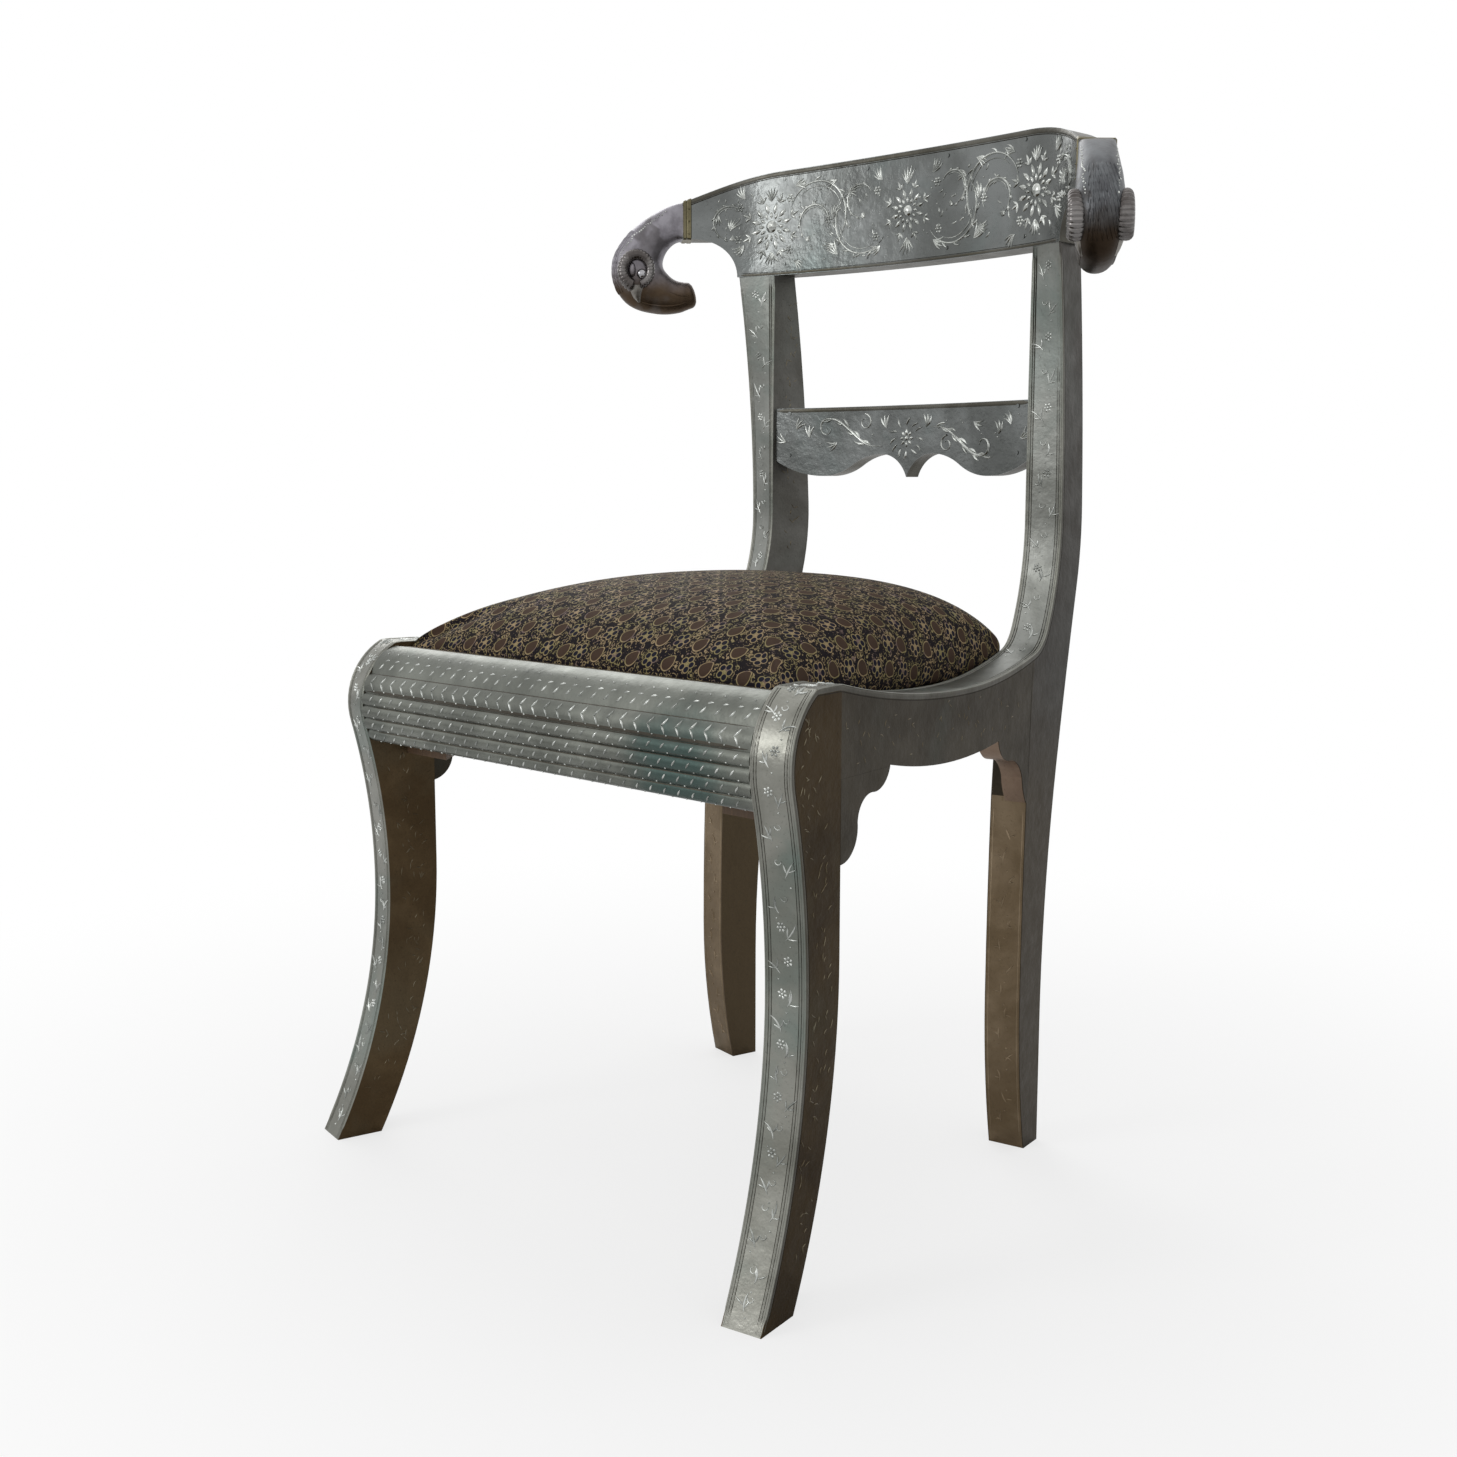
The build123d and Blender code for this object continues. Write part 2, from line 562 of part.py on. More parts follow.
def corner_block(corner, along):
    ends = [corner, corner + Vector(-BLOCK_LEG, 0, 0), corner + along * BLOCK_LEG]
    plan = Polygon(*[(end.X, end.Y) for end in ends], align=None)
    return extrude(Pos(0, 0, support_z - BLOCK_HEIGHT) * plan, amount=BLOCK_HEIGHT)


def screw(foot, way):
    """A screw and the hole it needs; foot is where it leaves the block."""
    shank = rod(foot - way * SCREW_SUNK, way, SCREW_LENGTH, SCREW_RADIUS)
    head = rod(foot - way * (SCREW_SUNK + SCREW_HEAD), way, SCREW_HEAD, SCREW_HEAD_RADIUS)
    clear = rod(foot - way * BLOCK_LEG, way, BLOCK_LEG - SCREW_SUNK, SCREW_HEAD_RADIUS)
    return shank + head, shank + clear


blocks = []
screws = []
screw_holes = []
for corner, along, outward in ((front_corner, FORWARD * -1, -1), (rear_corner, FORWARD, 1)):
    cross_foot = corner + Vector(-CROSS_SCREW_OFFSET, 0, support_z - CROSS_SCREW_DROP)
    side_foot = corner + along * SIDE_SCREW_OFFSET + Vector(0, 0, support_z - SIDE_SCREW_DROP)
    pair = [screw(cross_foot, Vector(0, outward, 0)), screw(side_foot, INWARD * -1)]
    shape = corner_block(corner, along)
    for body, hole in pair:
        screws.append(body)
        screw_holes.append(hole)
        shape = shape - hole
    blocks.append(shape)

# Dowels of the right half: side rails, cross rails, splat, crest rail and head
mid_inset = SIDE_WIDTH / 2
belly_centre_z = rail_belly_z + RAIL_BELLY_RADIUS


def rail_bottom_z(s):
    return belly_centre_z - math.sqrt(RAIL_BELLY_RADIUS**2 - (s - RAIL_BELLY_S)**2)


def spaced(low, high):
    """Two heights that share a joint evenly."""
    step = (high - low) / 4
    return (low + step, high - step)


rail_dowels = []
for height in spaced(rail_bottom_z(leg_rear_s), rail_rear_z):
    rail_dowels.append(dowel_at(side_point(leg_rear_s, mid_inset, height), FORWARD))
for height in spaced(rail_bottom_z(0), rail_dip_z):
    rail_dowels.append(dowel_at(side_point(DOWEL_LENGTH / 4, mid_inset, height), FORWARD))

ACROSS = Vector(1, 0, 0)
front_dowel_y = (front_rail_rear_y + roll_y - cover_inner) / 2
rear_dowel_y = REAR_RAIL_FRONT_Y + REAR_RAIL_DEPTH / 2
cross_dowels = []
for height in spaced(front_rail_bottom, 2 * roll_z - front_rail_bottom):
    cross_dowels.append(dowel_at(side_point(s_at(front_dowel_y, SIDE_WIDTH), SIDE_WIDTH, height), ACROSS))
for height in spaced(rear_rail_bottom, rear_rail_top):
    cross_dowels.append(dowel_at(side_point(s_at(rear_dowel_y, SIDE_WIDTH), SIDE_WIDTH, height), ACROSS))

splat_end_x = x_at(splat_front_y, SIDE_WIDTH)
splat_end_y = splat_centre[1] + math.sqrt((SPLAT_RADIUS + SPLAT_DEPTH / 2)**2 - splat_end_x**2)
splat_angle = math.degrees(math.asin(splat_end_x / SPLAT_RADIUS))
splat_mid_z = (splat_end_z + SPLAT_TOP) / 2
splat_run = Vector(math.cos(math.radians(splat_angle)), -math.sin(math.radians(splat_angle)), 0)
splat_dowel = dowel_at(side_point(s_at(splat_end_y, SIDE_WIDTH), SIDE_WIDTH, splat_mid_z), splat_run,
                       SPLAT_DOWEL_LENGTH)
stile_mid_s = ((STILE_TOP_OUTER_S + STILE_TOP_INNER_S) / 2 + POST_REAR_TOP_S) / 2
crest_dowel = dowel_at(side_point(stile_mid_s, mid_inset, crest_bottom), Vector(0, 0, 1))
head_dowel = dowel_at(head_root, head_out)

# Pins that hold the front plates of the crest rail and the splat
crest_pin_z = (crest_bottom + PIN_MARGIN, CREST_TOP - PIN_MARGIN)
splat_pin_z = (splat_end_z + PIN_MARGIN / 2, SPLAT_TOP - PIN_MARGIN / 2)
pins = []


def pin(centre, radius, angle, height):
    a = math.radians(angle)
    out = Vector(-math.cos(a), -math.sin(a), 0)
    spot = Vector(centre[0] + radius * math.cos(a), centre[1] + radius * math.sin(a), height)
    shank = rod(spot - out * PIN_LENGTH, out, PIN_LENGTH, PIN_RADIUS)
    return shank + rod(spot, out, PIN_HEAD, PIN_HEAD_RADIUS)


for height in crest_pin_z:
    for share in (1 / 3, 1):
        pins.append(pin(bow_centre, CREST_RADIUS, 90 - bow_angle * share * PIN_SPREAD, height))
for height in splat_pin_z:
    pins.append(pin(splat_centre, SPLAT_RADIUS, 90 - splat_angle * PIN_SPREAD, height))


def bored(shape, *holes):
    for hole in holes:
        shape = shape - hole
    return shape


def with_mirror(shapes):
    return list(shapes) + [mirrored(shape) for shape in shapes]


def group(shapes):
    """Separate solids that share one node."""
    return Compound([solid for shape in shapes for solid in shape.solids()])


# Bore the right-hand pieces and the pieces that cross the middle
rail_holes = [pair[1] for pair in rail_dowels]
cross_holes = [pair[1] for pair in cross_dowels]
both_sides("front_leg", bored(leg_core, *rail_holes[:2], *cross_holes[:2], screw_holes[1]))
leg_inner_sheet = slab(leg_face, SIDE_WIDTH - SHEET, SHEET)
both_sides("front_leg_inner_sheet", bored(leg_inner_sheet, *cross_holes[:2], screw_holes[1]))
both_sides("side_rail", bored(rail_core, *rail_holes))
both_sides("back_post", bored(post_core, *rail_holes[2:], *cross_holes[2:], screw_holes[3], splat_dowel[1],
                              crest_dowel[1]))
post_inner_sheet = slab(post_inner_face, SIDE_WIDTH - SHEET, SHEET)
both_sides("post_inner_sheet", bored(post_inner_sheet, *cross_holes[2:], screw_holes[3], splat_dowel[1]))
nodes["front_rail"] = bored(front_rail, *with_mirror(cross_holes[:2] + screw_holes[:1]))
nodes["rear_rail"] = bored(rear_rail, *with_mirror(cross_holes[2:] + screw_holes[2:3]))
nodes["crest_rail"] = bored(crest_rail, *with_mirror([crest_dowel[1], head_dowel[1]] + pins))
nodes["crest_front_plate"] = bored(crest_front_plate, *with_mirror(pins))
nodes["crest_back_plate"] = crest_back_plate
nodes["splat"] = bored(splat, *with_mirror([splat_dowel[1]] + pins))
nodes["splat_front_plate"] = bored(splat_front_plate, *with_mirror(pins))
nodes["splat_back_plate"] = splat_back_plate
both_sides("rams_head", bored(rams_head, head_dowel[1]))
both_sides("horns", group(horns))
nodes["corner_blocks"] = group(with_mirror(blocks))
nodes["corner_block_screws"] = group(with_mirror(screws))
nodes["side_rail_dowels"] = group(with_mirror([pair[0] for pair in rail_dowels]))
nodes["cross_rail_dowels"] = group(with_mirror([pair[0] for pair in cross_dowels]))
nodes["back_dowels"] = group(with_mirror([splat_dowel[0], crest_dowel[0]]))
nodes["head_dowels"] = group(with_mirror([head_dowel[0]]))
nodes["plate_pins"] = group(with_mirror(pins))

# Drop-in seat: frame of four rails in the recess, with a clearance all round
seat_front_y = front_rail_rear_y + SEAT_CLEARANCE
seat_rear_y = REAR_RAIL_FRONT_Y - SEAT_CLEARANCE
seat_inset = SIDE_WIDTH + SEAT_CLEARANCE
frame_top = seat_base_z + SEAT_FRAME_THICK


def seat_slice(front_y, rear_y, inset, low, high):
    """Trapezoid of the seat between two y values, as a board."""
    front_x = x_at(front_y, inset)
    rear_x = x_at(rear_y, inset)
    plan = Polygon((front_x, front_y), (rear_x, rear_y), (-rear_x, rear_y), (-front_x, front_y), align=None)
    return extrude(Pos(0, 0, low) * plan, amount=high - low)


inner_front_y = seat_front_y + SEAT_FRAME_WIDTH
inner_rear_y = seat_rear_y - SEAT_FRAME_WIDTH
middle = seat_slice(inner_front_y, inner_rear_y, seat_inset, seat_base_z, frame_top)
hollow = seat_slice(inner_front_y, inner_rear_y, seat_inset + SEAT_FRAME_WIDTH, seat_base_z, frame_top)
seat_sides = (middle - hollow).solids().sort_by(Axis.X)
nodes["seat_frame_front"] = seat_slice(seat_front_y, inner_front_y, seat_inset, seat_base_z, frame_top)
nodes["seat_frame_rear"] = seat_slice(inner_rear_y, seat_rear_y, seat_inset, seat_base_z, frame_top)
nodes["seat_frame_left"] = seat_sides[0]
nodes["seat_frame_right"] = seat_sides[1]
nodes["seat_dust_cover"] = seat_slice(seat_front_y + WEB_MARGIN, seat_rear_y - WEB_MARGIN,
                                      seat_inset + WEB_MARGIN, seat_base_z - DUST_COVER, seat_base_z)

# Webbing: straps along the seat, then straps across on top of them
web_front_y = seat_front_y + WEB_MARGIN
web_rear_y = seat_rear_y - WEB_MARGIN
web_low = frame_top
web_mid = web_low + WEB_THICK
web_high = web_mid + WEB_THICK
long_straps = []
cross_straps = []
long_pitch = 2 * x_at(inner_rear_y, seat_inset + SEAT_FRAME_WIDTH) / WEB_COUNT
cross_pitch = (inner_rear_y - inner_front_y) / WEB_COUNT
for i in range(WEB_COUNT):
    x = (i - (WEB_COUNT - 1) / 2) * long_pitch
    long_low = (x - WEB_WIDTH / 2, web_front_y, web_low)
    long_straps.append(block(long_low, (x + WEB_WIDTH / 2, web_rear_y, web_mid)))
    y = inner_front_y + (i + 0.5) * cross_pitch
    reach = x_at(y + WEB_WIDTH / 2, seat_inset + WEB_MARGIN)
    cross_straps.append(block((-reach, y - WEB_WIDTH / 2, web_mid), (reach, y + WEB_WIDTH / 2, web_high)))
nodes["seat_webbing_lengthwise"] = group(long_straps)
nodes["seat_webbing_crosswise"] = group(cross_straps)


# Cushion: cross-sections from front (-1) to rear (1), drawn in at the ends and crowned behind the middle
def cushion_rise(place):
    """Share of the crown's height that a cross-section reaches."""
    away = place - CUSHION_CROWN_AT
    power, root = CUSHION_FRONT_POWERS if away < 0 else CUSHION_REAR_POWERS
    reach = 1 + CUSHION_CROWN_AT if away < 0 else 1 - CUSHION_CROWN_AT
    return (1 - min(1, abs(away) / reach)**power)**root


def cushion_section(place):
    y = (seat_front_y + seat_rear_y) / 2 + place * (seat_rear_y - seat_front_y) / 2
    rise = cushion_rise(place)
    half = x_at(y, seat_inset) - CUSHION_SIDE_GAP - CUSHION_CORNER * (1 - rise)**2
    end_crown = cushion_edge_z + CUSHION_END_RISE
    crown = end_crown + (cushion_crown - end_crown) * rise
    shoulder = (half - CUSHION_SHOULDER, cushion_edge_z + CUSHION_SHOULDER_SHARE * (crown - cushion_edge_z))
    foot = half - CUSHION_DRAW_IN
    top = ThreePointArc((-shoulder[0], shoulder[1]), (0, crown), shoulder)
    right = TangentArc(shoulder, (foot, web_high), tangent=top % 1)
    left = mirror(right, about=Plane.YZ)
    base = Line((-foot, web_high), (foot, web_high))
    plane = Plane(origin=(0, y, 0), x_dir=(1, 0, 0), z_dir=(0, -1, 0))
    return plane * make_face([base, right, top, left])


nodes["seat_cushion"] = loft([cushion_section(place) for place in CUSHION_PLACES])

# Set the origin under the middle of the chair and write each piece
boxes = [shape.bounding_box() for shape in nodes.values()]
front_y = min(box.min.Y for box in boxes)
rear_y = max(box.max.Y for box in boxes)
to_origin = Pos(0, -(front_y + rear_y) / 2, 0)
os.makedirs("parts", exist_ok=True)
for name, shape in nodes.items():
    export_step(to_origin * shape, "parts/" + name + ".step")
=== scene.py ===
import bpy
import math
import random
from bisect import bisect_right
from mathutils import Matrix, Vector
from mathutils.bvhtree import BVHTree


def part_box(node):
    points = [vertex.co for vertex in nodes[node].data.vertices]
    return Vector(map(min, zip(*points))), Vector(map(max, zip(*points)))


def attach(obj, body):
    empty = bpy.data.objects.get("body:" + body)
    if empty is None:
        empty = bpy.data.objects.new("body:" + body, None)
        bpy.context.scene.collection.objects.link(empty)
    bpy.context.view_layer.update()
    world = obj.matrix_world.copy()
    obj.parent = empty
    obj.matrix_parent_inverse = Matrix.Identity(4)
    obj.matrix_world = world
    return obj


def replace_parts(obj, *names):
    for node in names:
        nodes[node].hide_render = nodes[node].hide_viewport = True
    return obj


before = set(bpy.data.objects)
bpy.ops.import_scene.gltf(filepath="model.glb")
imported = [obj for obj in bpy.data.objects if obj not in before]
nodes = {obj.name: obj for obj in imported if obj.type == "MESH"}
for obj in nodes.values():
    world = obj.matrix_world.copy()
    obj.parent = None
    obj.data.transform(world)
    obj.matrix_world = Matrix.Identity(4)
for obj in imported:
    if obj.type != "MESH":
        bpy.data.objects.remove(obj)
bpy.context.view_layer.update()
MM = 0.001

# Dimensions of the frame, in millimetres and degrees, as in the model's source
SPLAY = math.radians(11.28)
REAR_HALF_WIDTH = 198.3
SIDE_WIDTH = 34.0
SEAT_RAIL_TOP = 450.0
LEG_WAIST = (372.6, 232.0)
LEG_TOE = 56.4
LEG_DEPTH = 46.4
ROLL_SETBACK = 42.6
ROLL_Z = 394.0
ROLL_RADIUS = 63.5
RAIL_DIP = (128.0, 427.8)
RAIL_REAR_Z = 445.0
STILE_BEND = (-24.0, 464.5)
STILE_BACK = (-47.0, 560.0)
STILE_TOP_OUTER_S = -29.5
STILE_TOP_INNER_S = -49.0
CREST_BOTTOM = 793.0
CREST_FRONT_Y = 58.0
CREST_RADIUS = 700.0
CREST_BOW_X = 156.5
CREST_END_RADIUS = 140.0
CREST_END_ANGLE = 51.5
CREST_DEPTH = 30.0
CREST_TOP = 894.5
CREST_SHOULDER = (150.0, 892.0)
CREST_END_TOP_Z = 866.0
CREST_END_LOW_Z = 831.0
EAR_START_X = 193.0
SPLAT_FRONT_Y = 61.2
SPLAT_RADIUS = 697.0
SPLAT_TOP = 663.0
SPLAT_LOW_MIDDLE = 617.5
SPLAT_LOW_LOBE = 596.5
SPLAT_LOW_END = 612.0
SPLAT_LOBE_START = 31.0
SPLAT_LOBE_X = 101.0
SPLAT_END_X = 165.0
FRONT_RAIL_BOTTOM = 363.0
FRONT_RAIL_REAR_Y = -352.0
REED_WIDTHS = (11.7, 11.7, 11.7, 11.7, 19.0, 34.0)
REED_HEIGHT = 2.4
HEAD_HOLLOW_DROP = 43.0
HEAD_OVERLAP = 4.0
HEAD_MM_PER_DEGREE = 0.9
HEAD_MM_PER_RADIAN = 20.0
HORN_OUT = 46.0
HORN_UP = -6.0
HORN_START = -70
HORN_SWEEP = 325
HORN_RIBS = 27
HORN_RING = 14.6
HORN_SIZE = 6.0
HEAD_SECTIONS = (
    (90, 25.3, 60.7, 30.4), (60, 22, 58, 34), (30, 20, 62, 38), (0, 19, 70, 40),
    (-30, 16, 68, 37), (-60, 15, 54, 32), (-90, 15, 45, 27), (-106, 16, 42, 22),
)

# The model's origin lies under its middle; these outlines start at the front of the rear foot
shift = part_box("front_rail")[1].y / MM - FRONT_RAIL_REAR_Y


def side_point(s, inset, z):
    x = REAR_HALF_WIDTH + s * math.sin(SPLAY) - inset * math.cos(SPLAY)
    y = -s * math.cos(SPLAY) - inset * math.sin(SPLAY) + shift
    return Vector((x, y, z))


def around(x, y, radius, a):
    """Point of a circle at an angle in radians."""
    return x + radius * math.cos(a), y + radius * math.sin(a)


def circle_run(centre, radius, start, end, count):
    angles = [math.radians(start + (end - start) * i / count) for i in range(count + 1)]
    return [around(*centre, radius, a) for a in angles]


def turned(p, angle):
    c, s = math.cos(angle), math.sin(angle)
    return p[0] * c - p[1] * s, p[0] * s + p[1] * c


def tangent_run(a, tangent, b, count):
    """Points of the arc that leaves a along tangent and ends at b, and its tangent there."""
    size = math.hypot(*tangent)
    t = (tangent[0] / size, tangent[1] / size)
    d = (b[0] - a[0], b[1] - a[1])
    across = -d[0] * t[1] + d[1] * t[0]
    along = d[0] * t[0] + d[1] * t[1]
    turn = 2 * math.atan2(across, along)
    radius = (d[0]**2 + d[1]**2) / (2 * across)
    centre = (a[0] - t[1] * radius, a[1] + t[0] * radius)
    run = []
    for i in range(count + 1):
        x, y = turned((a[0] - centre[0], a[1] - centre[1]), turn * i / count)
        run.append((centre[0] + x, centre[1] + y))
    return run, turned(t, turn)


# One line up the front of a side frame: leg, roll, dipping rail and stile
leg_rear_s = LEG_WAIST[0] - LEG_DEPTH
roll_s = LEG_WAIST[0] - ROLL_SETBACK


def front_line(top_s):
    toe_radius = (LEG_TOE**2 + LEG_WAIST[1]**2) / (2 * LEG_TOE)
    rise = ROLL_Z - LEG_WAIST[1]
    shin_radius = (ROLL_SETBACK**2 + rise**2 - ROLL_RADIUS**2) / (2 * (ROLL_RADIUS - ROLL_SETBACK))
    brow = math.degrees(math.atan2(rise, -(ROLL_SETBACK + shin_radius)))
    toe_angle = 180 + math.degrees(math.asin(LEG_WAIST[1] / toe_radius))
    top_angle = math.degrees(math.asin((SEAT_RAIL_TOP - ROLL_Z) / ROLL_RADIUS))
    toe = circle_run((LEG_WAIST[0] + toe_radius, LEG_WAIST[1]), toe_radius, toe_angle, 180, 40)
    shin = circle_run((LEG_WAIST[0] + shin_radius, LEG_WAIST[1]), shin_radius, 180, brow, 30)
    roll = circle_run((roll_s, ROLL_Z), ROLL_RADIUS, brow - 180, top_angle, 40)
    dip, _ = tangent_run(RAIL_DIP, (1, 0), (leg_rear_s, SEAT_RAIL_TOP), 40)
    rise_up, way = tangent_run(RAIL_DIP, (-1, 0), (0, RAIL_REAR_Z), 30)
    bend, way = tangent_run((0, RAIL_REAR_Z), way, STILE_BEND, 16)
    sweep, way = tangent_run(STILE_BEND, way, STILE_BACK, 30)
    stile, _ = tangent_run(STILE_BACK, way, (top_s, CREST_BOTTOM), 50)
    return toe + shin[1:] + roll[1:] + dip[::-1] + rise_up[1:] + bend[1:] + sweep[1:] + stile[1:]


outer_line = front_line(STILE_TOP_OUTER_S)
inner_line = front_line(STILE_TOP_INNER_S)
line_length = [0.0]
for a, b in zip(outer_line, outer_line[1:]):
    line_length.append(line_length[-1] + math.dist(a, b))


def length_at_height(z, start=0):
    """Length along the front line where it first passes a height, from a given point on."""
    for i in range(start, len(outer_line) - 1):
        if (outer_line[i][1] - z) * (outer_line[i + 1][1] - z) <= 0:
            return line_length[i]
    return line_length[-1]


def strip_place(u):
    """Stretch of the front line at a length along it, and the share of that stretch."""
    i = min(max(bisect_right(line_length, u) - 1, 0), len(line_length) - 2)
    return i, (u - line_length[i]) / (line_length[i + 1] - line_length[i])


def beside(a, b, share, h):
    """Point between a and b, h to the right of the way from a to b."""
    ds, dz = b[0] - a[0], b[1] - a[1]
    size = math.hypot(ds, dz)
    return a[0] + ds * share + dz / size * h, a[1] + dz * share - ds / size * h


def on_strip(u, v, h):
    """Point on the front strip: u along it from the toe, v in from its outer edge, h above it."""
    i, share = strip_place(u)
    lean = v / SIDE_WIDTH
    a, b = ((o[0] + (n[0] - o[0]) * lean, o[1] + (n[1] - o[1]) * lean)
            for o, n in zip(outer_line[i:i + 2], inner_line[i:i + 2]))
    s, z = beside(a, b, share, h)
    return side_point(s, v, z)


def on_outer_face(s, z, h):
    return side_point(s, -h, z)


def on_inner_face(s, z, h):
    return side_point(s, SIDE_WIDTH + h, z)


# Crest rail: a wide bow whose ends turn forward on a smaller radius
bow_angle = math.asin(CREST_BOW_X / CREST_RADIUS)
bow_centre = Vector((0, CREST_FRONT_Y - CREST_RADIUS))
end_centre = Vector((CREST_BOW_X - CREST_END_RADIUS * math.sin(bow_angle),
                     bow_centre.y + (CREST_RADIUS - CREST_END_RADIUS) * math.cos(bow_angle)))
bow_length = bow_angle * CREST_RADIUS
crest_length = bow_length + (math.radians(CREST_END_ANGLE) - bow_angle) * CREST_END_RADIUS


def crest_plan(u, depth):
    """Plan of the crest rail: u along its front face from the middle, depth behind that face."""
    if abs(u) <= bow_length:
        a = u / CREST_RADIUS
        x = (CREST_RADIUS + depth) * math.sin(a)
        y = bow_centre.y + (CREST_RADIUS + depth) * math.cos(a)
    else:
        a = bow_angle + (abs(u) - bow_length) / CREST_END_RADIUS
        x = math.copysign(end_centre.x + (CREST_END_RADIUS + depth) * math.sin(a), u)
        y = end_centre.y + (CREST_END_RADIUS + depth) * math.cos(a)
    return x, y + shift


def on_crest(u, z, h):
    x, y = crest_plan(u, -h)
    return Vector((x, y, z))


crest_end_x = crest_plan(crest_length, 0)[0]
top_drop = CREST_TOP - CREST_SHOULDER[1]
top_radius = (CREST_SHOULDER[0]**2 + top_drop**2) / (2 * top_drop)
top_end = 90 - math.degrees(math.asin(CREST_SHOULDER[0] / top_radius))
top_run = circle_run((0, CREST_TOP - top_radius), top_radius, 90, top_end, 20)
shoulder_way = (top_run[-1][0] - top_run[-2][0], top_run[-1][1] - top_run[-2][1])
shoulder_run, _ = tangent_run(CREST_SHOULDER, shoulder_way, (crest_end_x, CREST_END_TOP_Z), 40)
ear_run, _ = tangent_run((EAR_START_X, CREST_BOTTOM), (0, 1), (crest_end_x, CREST_END_LOW_Z), 40)


def height_on(run, x):
    """Height of a run of points at x, level beyond its ends."""
    for a, b in zip(run, run[1:]):
        if a[0] <= x <= b[0]:
            return a[1] + (b[1] - a[1]) * (x - a[0]) / max(b[0] - a[0], 1e-9)
    return run[0][1] if x < run[0][0] else run[-1][1]


def crest_top_z(x):
    return height_on(top_run + shoulder_run[1:], abs(x))


def crest_low_z(x):
    return CREST_BOTTOM if abs(x) < EAR_START_X else height_on(ear_run, abs(x))


def on_splat(u, z, h):
    a = u / SPLAT_RADIUS
    radius = SPLAT_RADIUS - h
    return Vector((radius * math.sin(a), SPLAT_FRONT_Y - SPLAT_RADIUS + radius * math.cos(a) + shift, z))


# Reeded front rail: x across, v along the roll from its lower edge
roll_y = side_point(roll_s, SIDE_WIDTH, 0).y
reed_base = ROLL_RADIUS - REED_HEIGHT
reed_start = math.asin((FRONT_RAIL_BOTTOM - ROLL_Z) / reed_base)


def reed_radius(v):
    low = 0.0
    for width in REED_WIDTHS:
        if v <= low + width:
            share = (v - low) / width
            return reed_base + REED_HEIGHT * (1 - (2 * share - 1)**2)
        low += width
    return reed_base


def on_reeds(x, v, h):
    a = reed_start + v / ROLL_RADIUS
    radius = reed_radius(min(max(v, 0), sum(REED_WIDTHS))) + h
    return Vector((x, roll_y - radius * math.cos(a), ROLL_Z + radius * math.sin(a)))


# Materials are built from small expressions over the object's own coordinates
class Graph:
    def __init__(self, tree):
        self.tree = tree

    def feed(self, socket, value):
        if hasattr(value, "is_output"):
            self.tree.links.new(value, socket)
        else:
            socket.default_value = value

    def node(self, kind, inputs=(), **settings):
        """A new node with its settings, and its inputs by name or number."""
        node = self.tree.nodes.new(kind)
        for key, value in settings.items():
            setattr(node, key, value)
        for key, value in dict(inputs).items():
            self.feed(node.inputs[key], value)
        return node

    def math(self, operation, *values):
        return self.node("ShaderNodeMath", enumerate(values), operation=operation).outputs[0]

    def add(self, a, b):
        return self.math("ADD", a, b)

    def sub(self, a, b):
        return self.math("SUBTRACT", a, b)

    def mul(self, a, b):
        return self.math("MULTIPLY", a, b)

    def most(self, a, b):
        return self.math("MAXIMUM", a, b)

    def least(self, a, b):
        return self.math("MINIMUM", a, b)

    def place(self):
        return self.node("ShaderNodeTexCoord").outputs["Object"]

    def uv(self):
        return self.node("ShaderNodeTexCoord").outputs["UV"]

    def parts(self, vector):
        return self.node("ShaderNodeSeparateXYZ", {0: vector}).outputs

    def join(self, *parts):
        return self.node("ShaderNodeCombineXYZ", enumerate(parts)).outputs[0]

    def scaled(self, vector, scale):
        return self.node("ShaderNodeMapping", {"Vector": vector, "Scale": scale}).outputs[0]

    def noise(self, vector, scale, detail=3.0, roughness=0.55, distortion=0.0):
        inputs = {"Vector": vector, "Scale": scale, "Detail": detail, "Roughness": roughness,
                  "Distortion": distortion}
        return self.node("ShaderNodeTexNoise", inputs).outputs["Fac"]

    def voronoi(self, vector, scale):
        return self.node("ShaderNodeTexVoronoi", {"Vector": vector, "Scale": scale}).outputs["Distance"]

    def step(self, value, low, high):
        """0 below low, 1 above high, smooth between."""
        inputs = {"Value": value, "From Min": low, "From Max": high}
        return self.node("ShaderNodeMapRange", inputs, interpolation_type="SMOOTHSTEP").outputs["Result"]

    def mix(self, share, a, b):
        a, b = (c if hasattr(c, "is_output") else (*c, 1) for c in (a, b))
        return self.node("ShaderNodeMix", {0: share, 6: a, 7: b}, data_type="RGBA").outputs[2]

    def bump(self, height, strength, distance, under=None):
        inputs = {"Height": height, "Strength": strength, "Distance": distance}
        if under is not None:
            inputs["Normal"] = under
        return self.node("ShaderNodeBump", inputs).outputs[0]


class Shader(Graph):
    def __init__(self, name):
        self.material = bpy.data.materials.new(name)
        self.material.use_nodes = True
        super().__init__(self.material.node_tree)
        self.bsdf = self.tree.nodes["Principled BSDF"]

    def set(self, **looks):
        for key, value in looks.items():
            self.feed(self.bsdf.inputs[key], value)

    def finish(self, colour, metallic, roughness, normal):
        self.set(**{"Base Color": colour, "Metallic": metallic, "Roughness": roughness, "Normal": normal})
        return self.material


